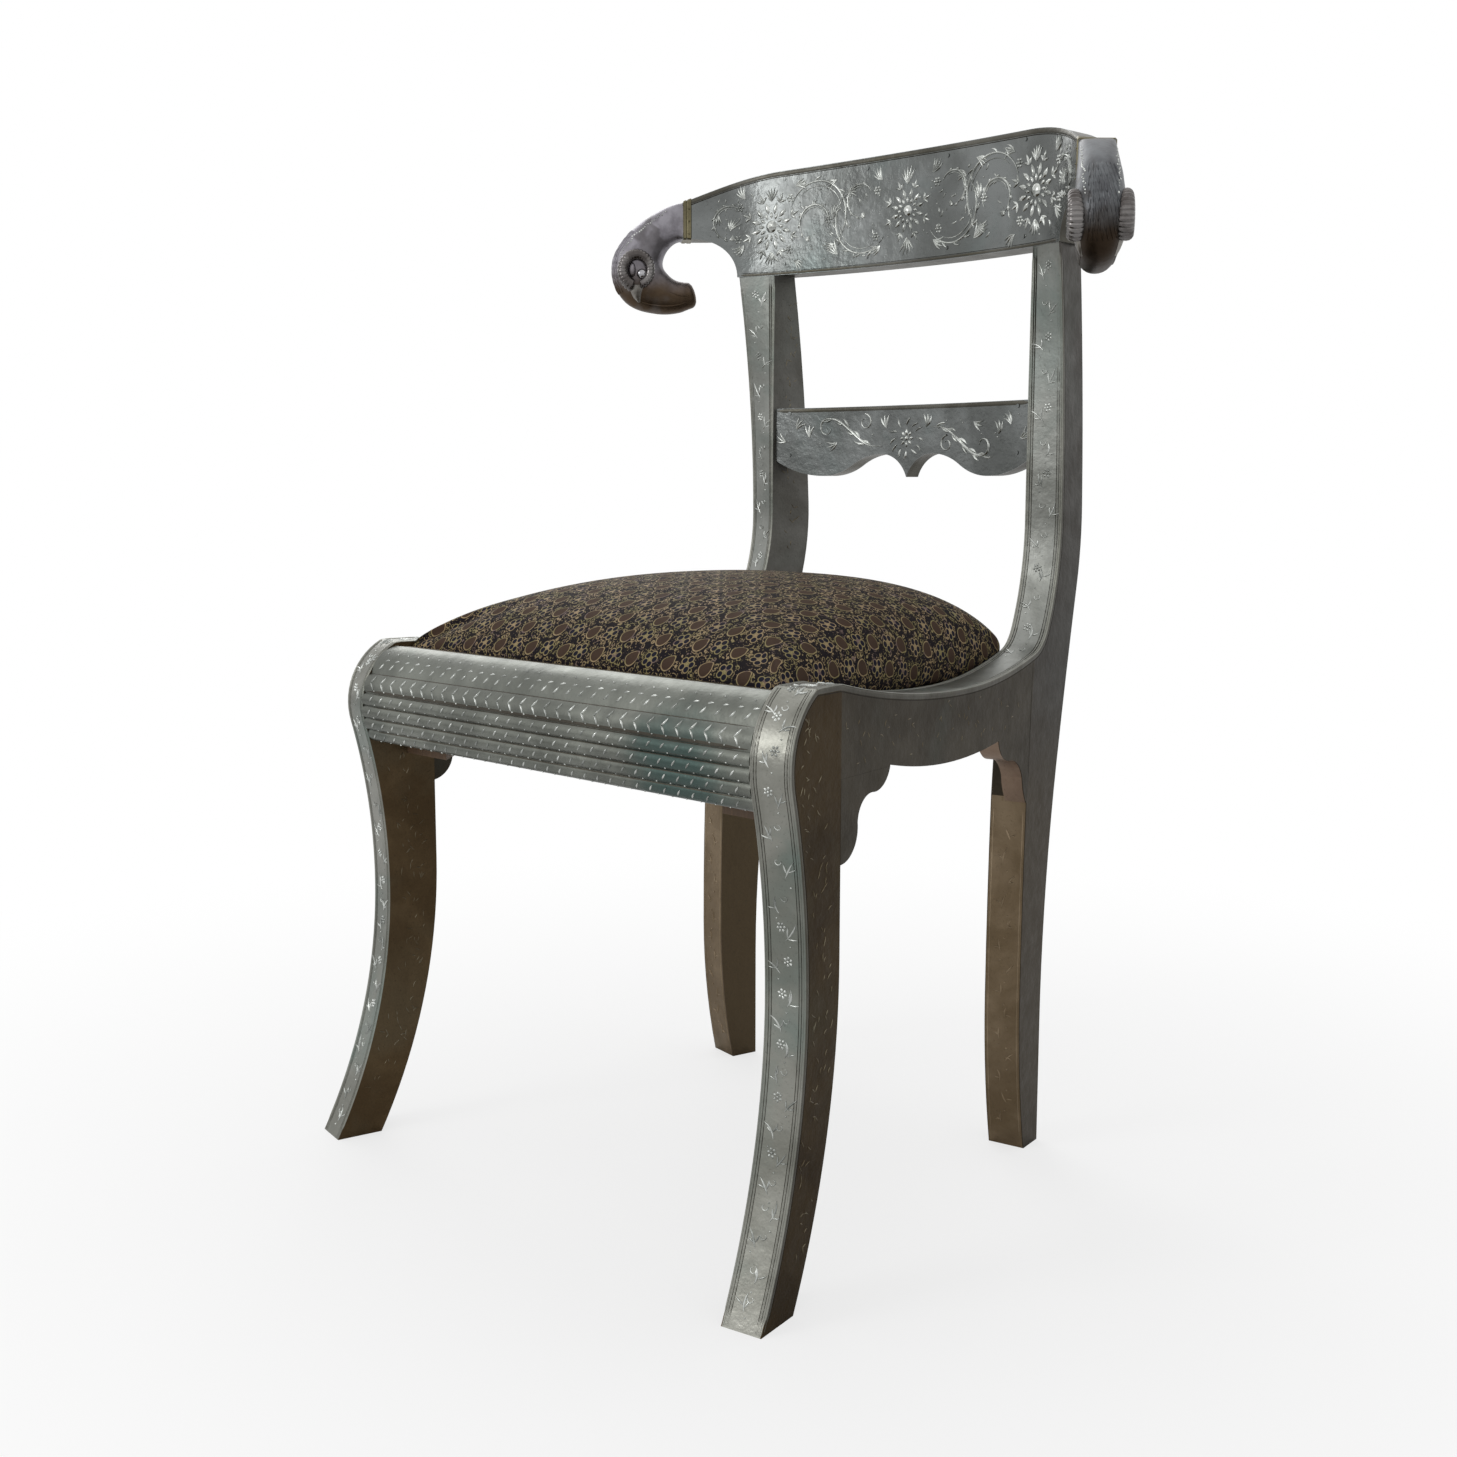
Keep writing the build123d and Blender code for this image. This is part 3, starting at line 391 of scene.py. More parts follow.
def metal(name, bright, dull, stain, stained, roughness, dent=0.35, patch=14, wash=None, foot=None):
    """Aged sheet metal: patches of two tones, a stain, tiny dents and scratches; on the raised work the
    bright patches are painted glints. Wash is a local stain, foot a tint of the lower half."""
    g = Shader(name)
    place = g.place()
    patches = g.step(g.noise(place, patch, 5, 0.6, 0.4), 0.35, 0.68)
    colour = g.mix(patches, dull, bright)
    blot = g.step(g.noise(place, 6.5, 4, 0.6, 0.8), 1 - stained - 0.12, 1 - stained + 0.1)
    colour = g.mix(g.mul(blot, 0.75), colour, stain)
    if wash:
        centre, reach, tint = wash
        away = g.node("ShaderNodeVectorMath", {0: place, 1: centre}, operation="DISTANCE")
        ragged = g.add(away.outputs["Value"], g.mul(g.noise(place, 30, 4), reach * 0.8))
        clear = g.mul(g.step(ragged, reach * 0.7, reach * 1.5), 0.85)
        colour = g.mix(g.sub(0.85, clear), colour, tint)
    if foot:
        high = g.add(g.parts(place)[2], g.mul(g.noise(place, 12, 3), 0.12))
        colour = g.mix(g.step(high, 0.36, 0.52), foot, colour)
    specks = g.step(g.noise(place, 420, 2, 0.6), 0.60, 0.75)
    colour = g.mix(g.mul(specks, 0.35), colour, tuple(0.45 * c for c in dull))
    rough = g.add(g.mul(g.noise(place, 55, 4), 0.28), roughness - 0.14)
    dents = g.noise(place, 95, 3, 0.6)
    scratches = g.noise(g.scaled(place, (1.0, 1.0, 0.08)), 900, 2)
    normal = g.bump(dents, dent, 0.0016)
    normal = g.bump(scratches, 0.12, 0.0004, normal)
    return g.finish(colour, 1.0, rough, normal)


SILVER = metal("silver_front", (0.290, 0.290, 0.260), (0.188, 0.189, 0.165), (0.165, 0.21, 0.19), 0.34, 0.36)
STILE = metal("silver_stile", (0.288, 0.295, 0.276), (0.188, 0.193, 0.177), (0.172, 0.215, 0.20), 0.34, 0.44)
REEDED = metal("silver_reeds", (0.200, 0.209, 0.186), (0.125, 0.131, 0.116), (0.142, 0.168, 0.155), 0.3, 0.38,
               wash=((0.165, roll_y * MM - 0.055, 0.375), 0.07, (0.05, 0.085, 0.078)))
CREST_SILVER = metal("silver_crest", (0.190, 0.200, 0.197), (0.116, 0.122, 0.118),
                     (0.136, 0.165, 0.16), 0.30, 0.27)
# Raised work is the plate's own metal; the bright patches of this copy are painted glints standing in for
# light caught on the relief.
RAISED_GLINTS = metal("silver_raised_painted_glints", (0.66, 0.68, 0.65), (0.235, 0.245, 0.23),
               (0.22, 0.25, 0.235), 0.28, 0.2, 0.15, 55)
SIDE = metal("dark_side_sheet", (0.054, 0.035, 0.014), (0.033, 0.020, 0.007), (0.05, 0.038, 0.02), 0.36, 0.46)
# The inner faces of the legs take a copy of the dark side sheet about twice as light: painted light where
# those faces lie in shade.
INNER = metal("inner_sheet_painted_light", (0.118, 0.082, 0.044), (0.072, 0.048, 0.025),
              (0.10, 0.078, 0.048), 0.36, 0.46)
RAIL_SIDE = metal("rail_side_sheet", (0.066, 0.057, 0.043), (0.043, 0.036, 0.026),
                  (0.058, 0.058, 0.047), 0.36, 0.46)
POST = metal("post_sheet", (0.070, 0.067, 0.061), (0.043, 0.038, 0.032), (0.060, 0.061, 0.053), 0.36, 0.44,
             foot=(0.058, 0.047, 0.033))
# The inner faces of the posts take a copy of the post sheet about twice as light: painted light where those
# faces lie in shade.
POST_INNER_PAINTED_LIGHT = metal("post_inner_sheet", (0.135, 0.132, 0.122), (0.084, 0.080, 0.071),
                   (0.115, 0.117, 0.106), 0.36, 0.44,
                   foot=(0.082, 0.061, 0.037))
# The faint ticks are lighter than the sheets under them: their colour is a painted glint on real raised
# ticks.
FAINT = metal("side_ticks_painted_glints", (0.19, 0.165, 0.115), (0.10, 0.08, 0.05), (0.14, 0.132, 0.10), 0.3, 0.32)
FAINT_BROWN = metal("brown_raised", (0.36, 0.28, 0.19), (0.20, 0.15, 0.094), (0.24, 0.21, 0.16), 0.3, 0.34)
BROWN = metal("brown_sheet", (0.235, 0.178, 0.115), (0.145, 0.105, 0.062), (0.185, 0.163, 0.125), 0.34, 0.42)
TAN = metal("tan_underside", (0.30, 0.22, 0.165), (0.20, 0.14, 0.10), (0.23, 0.185, 0.14), 0.34, 0.46)
EDGE = metal("edge_strip", (0.128, 0.124, 0.108), (0.070, 0.066, 0.054), (0.095, 0.088, 0.064), 0.34, 0.4)
BRASS = metal("brass_collar", (0.175, 0.155, 0.095), (0.095, 0.083, 0.05), (0.07, 0.06, 0.038), 0.3, 0.38)


def wood(name):
    g = Shader(name)
    place = g.place()
    grain = g.noise(g.scaled(place, (1, 1, 0.06)), 260, 5, 0.6, 0.6)
    colour = g.mix(grain, (0.055, 0.030, 0.016), (0.16, 0.095, 0.05))
    normal = g.bump(grain, 0.3, 0.0008)
    return g.finish(colour, 0.0, 0.62, normal)


WOOD = wood("sawn_wood")


def ram_metal():
    """Cast metal that darkens to brown towards the muzzle, with stains; the near head is painted darker and
    the far head lighter, as painted shade and painted light.
    """
    g = Shader("cast_ram")
    place = g.place()
    x, _, z = g.parts(place)
    # The near head takes darker greys and browns than the far head: painted shade on the near head and
    # painted light on the far one, one cast metal at two brightnesses.
    near_head_painted_shade = g.step(x, -0.05, 0.05)
    worn = g.noise(place, 60, 4, 0.6)
    light = g.mix(near_head_painted_shade, (0.300, 0.288, 0.315), (0.138, 0.145, 0.152))
    dark = g.mix(near_head_painted_shade, (0.190, 0.180, 0.198), (0.085, 0.087, 0.092))
    grey = g.mix(g.step(worn, 0.35, 0.65), dark, light)
    stain = g.step(g.noise(place, 34, 2, 0.5, 0.6), 0.56, 0.64)
    grey = g.mix(g.mul(stain, 0.5), grey, (0.06, 0.054, 0.05))
    low = g.step(g.add(z, g.mul(g.noise(place, 40, 3), 0.022)), 0.788, 0.822)
    brown = g.mix(worn, g.mix(near_head_painted_shade, (0.036, 0.024, 0.015), (0.018, 0.012, 0.008)),
                  g.mix(near_head_painted_shade, (0.12, 0.084, 0.055), (0.060, 0.042, 0.028)))
    rubbed = g.step(g.noise(place, 27, 2), 0.60, 0.70)
    brown = g.mix(g.mul(rubbed, 0.7), brown, (0.12, 0.105, 0.095))
    colour = g.mix(low, brown, grey)
    pits = g.bump(g.noise(place, 260, 3), 0.25, 0.0008)
    rough = g.add(g.mul(worn, 0.24), 0.30)
    return g.finish(colour, 1.0, rough, pits)


RAM = ram_metal()
HORN = metal("horn_metal", (0.22, 0.21, 0.205), (0.085, 0.076, 0.072),
             (0.055, 0.046, 0.042), 0.36, 0.26, 0.2, 40)
EAR = metal("ear_metal", (0.34, 0.325, 0.30), (0.16, 0.15, 0.135), (0.12, 0.105, 0.09), 0.3, 0.34, 0.2, 40)
# The eyes are polished metal; their light colour is partly a painted highlight on the ball.
EYE = metal("polished_eye_painted_highlight", (0.55, 0.55, 0.57), (0.30, 0.29, 0.30), (0.2, 0.18, 0.17), 0.2, 0.16, 0.1, 60)
REED_DIM = metal("reed_shade", (0.098, 0.09, 0.073), (0.064, 0.057, 0.045), (0.08, 0.08, 0.066), 0.3, 0.42)
DARK = metal("dark_line", (0.035, 0.03, 0.022), (0.018, 0.015, 0.01), (0.03, 0.028, 0.02), 0.3, 0.6)


def brocade():
    """Woven brocade on a dark ground: five-petalled flowers, paisleys and small gold curls."""
    g = Shader("brocade_cloth")
    weave = g.uv()
    u, v, _ = g.parts(weave)

    def cell(value, offset):
        return g.sub(g.math("FRACT", g.add(value, offset)), 0.5)

    def length(x, y):
        return g.math("SQRT", g.add(g.mul(x, x), g.mul(y, y)))

    def inside(distance, soft=0.008):
        """1 where a signed distance is below zero."""
        return g.sub(1.0, g.step(distance, -soft, soft))

    def paisley(offset_u, offset_v):
        """Signed distance to a drop with a curled tail."""
        x = cell(u, offset_u)
        y = cell(v, offset_v)
        up = g.most(y, 0.0)
        bent = g.sub(x, g.mul(g.mul(up, up), 4.2))
        tall = g.mul(y, 0.8)
        return g.sub(length(bent, tall), g.sub(0.145, g.mul(up, 0.37)))

    def flower(offset_u, offset_v):
        """Signed distance to five round petals, and the distance from their middle."""
        x = cell(u, offset_u)
        y = cell(v, offset_v)
        away = length(x, y)
        turn = g.math("WRAP", g.math("ARCTAN2", y, x), math.pi / 5, -math.pi / 5)
        ahead = g.sub(g.mul(away, g.math("COSINE", turn)), 0.115)
        aside = g.mul(away, g.math("SINE", turn))
        return g.sub(length(ahead, aside), 0.058), away

    drops = g.least(paisley(0.5, 0.5), paisley(0.0, 0.0))
    bloom_a, heart_a = flower(0.0, 0.5)
    bloom_b, heart_b = flower(0.5, 0.0)
    blooms = g.least(bloom_a, bloom_b)
    hearts = g.least(heart_a, heart_b)
    motif = g.least(drops, blooms)
    free = g.step(motif, 0.03, 0.045)
    drift = g.mul(g.noise(weave, 9.0, 2), 0.10)
    bent = g.join(g.add(u, drift), g.sub(v, drift), 0.0)
    ring = g.math("ABSOLUTE", g.sub(g.voronoi(bent, 8.5), 0.34))
    curls = g.mul(inside(g.sub(ring, 0.06), 0.03), g.step(g.noise(weave, 13.0, 1), 0.40, 0.45))
    arc = g.math("ABSOLUTE", g.sub(g.voronoi(g.join(v, g.add(u, drift), 5.0), 5.2), 0.40))
    stems = g.mul(inside(g.sub(arc, 0.035), 0.02), g.step(g.noise(weave, 8.0, 1), 0.44, 0.49))
    dabs = g.step(g.noise(bent, 24.0, 1), 0.65, 0.69)
    filigree = g.mul(g.most(g.most(curls, stems), dabs), free)
    rim = inside(g.sub(g.math("ABSOLUTE", g.sub(motif, 0.012)), 0.011), 0.004)
    heart = inside(g.sub(hearts, 0.036))
    gold = g.most(g.most(filigree, rim), heart)

    tone = g.noise(weave, 2.3, 3)
    thread = g.mix(g.step(tone, 0.4, 0.62), (0.41, 0.30, 0.165), (0.30, 0.25, 0.11))
    thread = g.mix(g.step(g.noise(weave, 4.1, 2), 0.56, 0.66), thread, (0.21, 0.145, 0.125))
    ground = g.mix(g.noise(weave, 3.1, 2), (0.006, 0.005, 0.009), (0.014, 0.010, 0.010))
    brown = g.mix(g.noise(weave, 2.0, 2), (0.045, 0.028, 0.020), (0.078, 0.048, 0.032))
    colour = g.mix(inside(drops), ground, brown)
    colour = g.mix(inside(blooms), colour, (0.010, 0.010, 0.020))
    colour = g.mix(g.mul(gold, 0.92), colour, thread)
    fade = g.step(g.noise(weave, 0.35, 3), 0.45, 0.7)
    colour = g.mix(g.mul(fade, 0.12), colour, (0.06, 0.044, 0.03))

    ribs = g.math("SINE", g.mul(u, 420.0))
    cross = g.math("SINE", g.mul(v, 420.0))
    normal = g.bump(g.add(ribs, cross), 0.12, 0.0003)
    normal = g.bump(gold, 0.35, 0.0005, normal)
    g.set(**{"Specular IOR Level": 0.08})
    return g.finish(colour, 0.0, g.sub(0.78, g.mul(gold, 0.2)), normal)


BROCADE = brocade()


def webbing():
    """Plain woven strap."""
    g = Shader("jute_webbing")
    x, y, _ = g.parts(g.place())
    over = g.math("SINE", g.mul(x, 2400.0))
    under = g.math("SINE", g.mul(y, 2400.0))
    weft = g.mul(over, under)
    colour = g.mix(g.step(weft, -0.4, 0.6), (0.20, 0.135, 0.07), (0.36, 0.26, 0.15))
    return g.finish(colour, 0.0, 0.85, g.bump(weft, 0.4, 0.0005))


def dust_cloth():
    g = Shader("black_cambric")
    place = g.place()
    fibre = g.noise(g.scaled(place, (1, 0.15, 1)), 1500, 2)
    colour = g.mix(fibre, (0.018, 0.018, 0.019), (0.045, 0.044, 0.043))
    return g.finish(colour, 0.0, 0.9, g.bump(fibre, 0.25, 0.0003))


WEBBING = webbing()
DUST_CLOTH = dust_cloth()


# Pieces made here: points in millimetres, and faces between rows of them
SIDES = (("right_", 1), ("left_", -1))


def quads(first, rows, size, closed=True):
    """Faces between neighbouring rows of points, size points in each row."""
    faces = []
    for q in range(first, first + rows * size, size):
        for k in range(size if closed else size - 1):
            n = (k + 1) % size
            faces.append((q + k, q + n, q + size + n, q + size + k))
    return faces


def mesh_piece(name, verts, faces, material, body="frame", smooth=True):
    mesh = bpy.data.meshes.new(name)
    mesh.from_pydata([tuple(MM * c for c in p) for p in verts], [], faces)
    mesh.update()
    for polygon in mesh.polygons:
        polygon.use_smooth = smooth
    piece = bpy.data.objects.new(name, mesh)
    bpy.context.scene.collection.objects.link(piece)
    mesh.materials.append(material)
    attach(piece, body)
    return piece


class Solid:
    def __init__(self):
        self.verts = []
        self.faces = []

    def tube(self, rings):
        """Closed tube through rings of points."""
        first = len(self.verts)
        size = len(rings[0])
        for ring in rings:
            self.verts += ring
        self.faces += quads(first, len(rings) - 1, size)
        for ring, at in ((rings[0], first), (rings[-1], first + (len(rings) - 1) * size)):
            hub = len(self.verts)
            self.verts.append(sum(ring, Vector()) / size)
            for k in range(size):
                n = (k + 1) % size
                self.faces.append((at + n, at + k, hub) if at == first else (at + k, at + n, hub))

    def add(self, other):
        first = len(self.verts)
        self.verts += other.verts
        self.faces += [tuple(first + i for i in face) for face in other.faces]

    def make(self, name, material, sign=1, slot="silver_sheet"):
        """The piece as it is, or mirrored for a negative sign."""
        faces = self.faces if sign > 0 else [face[::-1] for face in self.faces]
        return mesh_piece(name, [(sign * p.x, p.y, p.z) for p in self.verts], faces, material)

    def make_pair(self, name, material, slot="silver_sheet"):
        for prefix, sign in SIDES:
            self.make(prefix + name, material, sign, slot)


# Raised work: strokes and bosses laid on a surface through a map from (u, v, height) to a point
STROKE_PROFILE = ((-1.0, -0.35), (-0.55, 0.7), (0.0, 1.0), (0.55, 0.7), (1.0, -0.35))
BOSS_PROFILE = ((1.0, -0.3), (0.8, 0.5), (0.45, 0.9))
LEAF_STEPS = 8


def leafy(share):
    return max(math.sin(math.pi * min(share * 0.92 + 0.06, 1.0)), 0.05)


def tailed(share):
    return max(1.0 - share, 0.06) ** 0.6


def even(share):
    return 1.0 if 0.01 < share < 0.99 else 0.2


class Relief(Solid):
    def __init__(self, place):
        super().__init__()
        self.place = place

    def stroke(self, line, width, height, shape=even):
        first = len(self.verts)
        last = len(line) - 1
        for i, (u, v) in enumerate(line):
            a = line[max(i - 1, 0)]
            b = line[min(i + 1, last)]
            du, dv = b[0] - a[0], b[1] - a[1]
            size = math.hypot(du, dv) or 1.0
            swell = shape(i / last)
            for across, up in STROKE_PROFILE:
                out = across * width * swell
                lift = up * height * (0.4 + 0.6 * swell)
                self.verts.append(self.place(u - dv / size * out, v + du / size * out, lift))
        self.faces += quads(first, last, len(STROKE_PROFILE), closed=False)

    def boss(self, u, v, radius, height, count=10):
        first = len(self.verts)
        for share, up in BOSS_PROFILE:
            for i in range(count):
                edge = around(u, v, radius * share, math.tau * i / count)
                self.verts.append(self.place(*edge, up * height))
        self.verts.append(self.place(u, v, height))
        self.faces += quads(first, 2, count)
        q = first + 2 * count
        self.faces += [(q + i, q + (i + 1) % count, q + count) for i in range(count)]

    def leaf(self, u, v, heading, length, width, height, curl=0.0):
        a = math.radians(heading)
        line = [(u, v)]
        for i in range(LEAF_STEPS):
            line.append(around(*line[-1], length / LEAF_STEPS, a))
            a += math.radians(curl) / LEAF_STEPS
        self.stroke(line, width, height, leafy)

    def flower(self, u, v, radius, petals, height, turn=0.0):
        for i in range(petals):
            heading = turn + 360 * i / petals
            root = around(u, v, radius * 0.36, math.radians(heading))
            self.leaf(*root, heading, radius * 0.64, radius * 1.7 / petals, height)
        self.boss(u, v, radius * 0.3, height * 1.4)

    def scroll(self, u, v, outer, inner, start, turns, width, height):
        """Spiral about (u, v) from its outer end inwards."""
        count = max(int(abs(turns) * 26), 8)
        line = []
        for i in range(count + 1):
            share = i / count
            a = math.radians(start) + math.tau * turns * share
            line.append(around(u, v, outer + (inner - outer) * share**0.85, a))
        self.stroke(line, width, height, tailed)


# Dress the frame's own pieces
def dress(material, *names):
    for name in names:
        materials = nodes[name].data.materials
        materials.clear()
        materials.append(material)


dress(WOOD, *nodes)
for side in ("left_", "right_"):
    for material, parts in ((SILVER, ["front_leg_front_strip"]),
                            (STILE, ["stile_front_strip", "side_rail_top_strip"]),
                            (SIDE, ["front_leg_outer_sheet", "front_leg"]),
                            (INNER, ["front_leg_inner_sheet"]),
                            (POST, ["post_outer_sheet", "back_post"]),
                            (POST_INNER_PAINTED_LIGHT, ["post_inner_sheet"]),
                            (RAIL_SIDE, ["side_rail_outer_sheet", "side_rail", "front_bracket"]),
                            (BROWN, ["rear_leg_front_strip"]),
                            (TAN, ["rear_bracket"]),
                            (RAM, ["rams_head", "horns"])):
        dress(material, *(side + part for part in parts))
dress(CREST_SILVER, "crest_front_plate", "crest_back_plate", "splat_front_plate",
      "splat_back_plate", "plate_pins")
dress(EDGE, "crest_rail", "splat", "corner_block_screws")
dress(REEDED, "front_rail_reeded_cover")
dress(SIDE, "front_rail")
dress(WEBBING, "seat_webbing_lengthwise", "seat_webbing_crosswise")
dress(DUST_CLOTH, "seat_dust_cover")

# Edge mouldings of the front strips: a raised bead and a painted shadow line along each side
leg_top = length_at_height(SEAT_RAIL_TOP - 0.5)
stile_start = length_at_height(SEAT_RAIL_TOP + 20, line_length.index(leg_top))
strip_end = line_length[-1]


def along_strip(start, end, v, pitch=6.0):
    count = max(int((end - start) / pitch), 2)
    return [(start + (end - start) * i / count, v) for i in range(count + 1)]


def strip_lines(work, insets, width, height, start=1):
    """Strokes along the strip, at the same insets from both of its edges."""
    for v in (*insets, *(SIDE_WIDTH - inset for inset in insets)):
        work.stroke(along_strip(start, strip_end - 1, v), width, height)


beads = Relief(on_strip)
shadow = Relief(on_strip)
strip_lines(beads, (1.9,), 0.9, 0.55)
strip_lines(beads, (4.4,), 0.45, 0.35)
strip_lines(shadow, (3.2, 5.4), 0.35, 0.12)
beads.make_pair("strip_beads", SILVER)
shadow.make_pair("strip_lines", DARK)

# Vine on the legs and stiles: short curved ticks, buds and small flowers
vine = Relief(on_strip)
chance = random.Random(4)
STRIP_MID = SIDE_WIDTH / 2


def vine_sprig(u, v, heading):
    vine.leaf(u, v, heading, chance.uniform(12, 17), 0.95, 0.9, chance.uniform(-70, 70))
    for turn in (-58, 52):
        root = around(u, v, chance.uniform(2.0, 5.0), math.radians(heading))
        vine.leaf(*root, heading + turn, chance.uniform(6, 9), 0.8, 0.8, -turn * 0.5)
    vine.boss(u + chance.uniform(-7, -3), v + chance.uniform(-4, 4), 0.8, 0.7, 7)


def vine_run(start, end, pitch):
    u = start
    side = 1
    while u < end:
        v = STRIP_MID + side * chance.uniform(1.0, 4.5)
        vine_sprig(u, v, side * chance.uniform(15, 45))
        bud = u + pitch * 0.45
        if chance.random() < 0.45:
            vine.flower(bud, STRIP_MID - side * 2.5, 4.2, 6, 0.8, chance.uniform(0, 60))
        else:
            vine.scroll(bud, STRIP_MID - side * 2.0, 3.4, 1.0, 90 * side, 0.8 * side, 0.6, 0.7)
        u += pitch * chance.uniform(0.85, 1.2)
        side = -side


vine_run(14, 300, 21)
vine_run(300, leg_top - 30, 26)
vine_run(leg_top - 26, leg_top + 30, 17)
vine_run(stile_start - 40, strip_end - 12, 27)
vine.make_pair("strip_vine", RAISED_GLINTS)


# Faint feather ticks on the faces of legs, rails and posts
def leg_front_s(z):
    for a, b in zip(outer_line, outer_line[1:]):
        if a[1] <= z <= b[1]:
            return a[0] + (b[0] - a[0]) * (z - a[1]) / (b[1] - a[1])
    return LEG_WAIST[0]


def tick(work, s, z, headings, lengths, width, height):
    work.leaf(s, z, chance.uniform(*headings), chance.uniform(*lengths), width, height,
              chance.uniform(-60, 60))


def leg_ticks(work, count, low, high):
    for i in range(count):
        z = chance.uniform(low, high)
        tick(work, leg_front_s(z) - chance.uniform(10, 36), z, (20, 160), (3.5, 7.5), 0.5, 0.4)


faint = Relief(on_outer_face)
leg_ticks(faint, 90, 40, 430)
for i in range(46):
    tick(faint, chance.uniform(20, leg_rear_s - 4), chance.uniform(384, 420), (0, 180), (3, 6), 0.45, 0.3)
faint.make_pair("side_ticks", FAINT)
inner_faint = Relief(on_inner_face)
leg_ticks(inner_faint, 80, 40, 345)
for i in range(40):
    tick(inner_faint, chance.uniform(-78, -62), chance.uniform(520, 770), (20, 160), (3.5, 7), 0.5, 0.4)
inner_faint.make_pair("inner_ticks", FAINT)

# Marks on the fronts of the rear legs
rear_front = nodes["right_rear_leg_front_strip"]
rear_tree = BVHTree.FromPolygons([rear_front.matrix_world @ v.co for v in rear_front.data.vertices],
                                 [tuple(face.vertices) for face in rear_front.data.polygons])


def on_rear_leg(z, v, h):
    """Point on the front of a rear leg, found by looking at it from the seat's side."""
    start = side_point(200, v, z)
    back = Vector((-math.sin(SPLAY), math.cos(SPLAY), 0))
    place, facing, _, _ = rear_tree.ray_cast(start * MM, back)
    return place / MM + facing * h


rear_marks = Relief(on_rear_leg)
for i in range(14):
    z = 22 + 20 * i
    v = STRIP_MID + 3.0 * (-1)**i
    rear_marks.leaf(z, v, chance.uniform(-40, 40), 11, 0.8, 0.6, chance.uniform(-70, 70))
    rear_marks.leaf(z + 3, v, chance.uniform(50, 110) * (-1)**i, 6, 0.7, 0.5, chance.uniform(-40, 40))
    rear_marks.boss(z + 12, STRIP_MID + chance.uniform(-5, 5), 0.9, 0.6, 7)
for v in (3.0, SIDE_WIDTH - 3.0):
    rear_marks.stroke([(12 + 8 * i, v) for i in range(38)], 0.6, 0.4)
rear_marks.make_pair("rear_leg_marks", FAINT_BROWN)

# Folded lip of the top strip on the outer face, and the seams of the side sheets
lip = Relief(on_outer_face)


def face_line(drop):
    """Points on the outer face, a little below the front line."""
    line = []
    for u, _ in along_strip(5, lip_end, 0):
        k, share = strip_place(u)
        line.append(beside(outer_line[k], outer_line[k + 1], share, -drop))
    return line


lip_end = length_at_height(CREST_BOTTOM - 4, line_length.index(leg_top))
lip.stroke(face_line(2.2), 2.2, 0.3)
lip.make_pair("strip_lip", EDGE)
rim = Relief(on_strip)
strip_lines(rim, (0.5,), 0.9, 0.5, start=2)
rim.make_pair("strip_rim", SILVER)
SEAM_Z = 381.5
seams = Relief(on_outer_face)
seams.stroke(face_line(4.9), 0.45, 0.14)
seams.stroke([(leg_rear_s + 3, SEAM_Z), (leg_rear_s - 70, SEAM_Z)], 0.6, 0.16)
seams.stroke([(leg_rear_s, SEAM_Z - 0.5), (leg_rear_s, SEAM_Z - 63.5)], 0.6, 0.16)
seams.stroke([(4, 441), (6, 400), (9, 330)], 0.55, 0.16)
seams.make_pair("side_seams", DARK)

# Crest rail: three rosettes joined by leafy scrolls, inside a plain border
crest_work = Relief(on_crest)
CREST_MID = 842.0
CREST_SCROLLS = ((106, 4, 33, 20, 215), (110, -2, 17, 200, -250), (54, -4, 31, 215, 200),
                 (56, 14, 15, 150, -240), (205, 4, 16, 150, -240))
CREST_SPRAYS = ((204, -4, 100, 15, 5, 40), (216, 12, -75, 12, 4, -30), (82, -34, 35, 17, 4, 30),
                (84, 36, -20, 14, 3, -30), (160, -26, -90, 14, 5, 0), (160, 22, 90, 14, 5, 0))
CREST_FLOWERS = ((132, 34, 150), (134, -36, 205), (30, 30, 35), (32, -30, -40), (188, 26, 40),
                 (190, -18, -60), (88, 0, 90))


def sided(side, heading):
    """A heading on the right of the middle, or its mirror image on the left."""
    return heading if side > 0 else 180 - heading


def level(reach, steps, v):
    """Points of a level line with the same reach to both sides."""
    return [(reach * (i / steps - 1), v) for i in range(2 * steps + 1)]


def rosette(work, u, z, size):
    work.boss(u, z, 5.6 * size, 2.4, 16)
    work.boss(u, z, 2.2 * size, 3.2, 10)
    for first, reach, length, width, height in ((0, 7.0, 5.2, 1.6, 1.3), (15, 11.0, 9.0, 2.3, 1.5)):
        for heading in range(first, 360, 30):
            root = around(u, z, reach * size, math.radians(heading))
            work.leaf(*root, heading, length * size, width * size, height)
    for i in range(8):
        heading = 45 * i + 22.5
        root = around(u, z, 21.0 * size, math.radians(heading))
        for turn, length in ((-38, 6.5), (0, 8.5), (38, 6.5)):
            work.leaf(*root, heading + turn, length * size, 1.4 * size, 1.2, turn * 0.9)


def spray(work, u, z, heading, length, count, curl):
    """A fan of curved leaves from one root."""
    for i in range(count):
        turn = (i - (count - 1) / 2) * 17
        work.leaf(u, z, heading + turn, length * (1 - 0.07 * abs(i - 1)), 1.2, 1.2, curl)


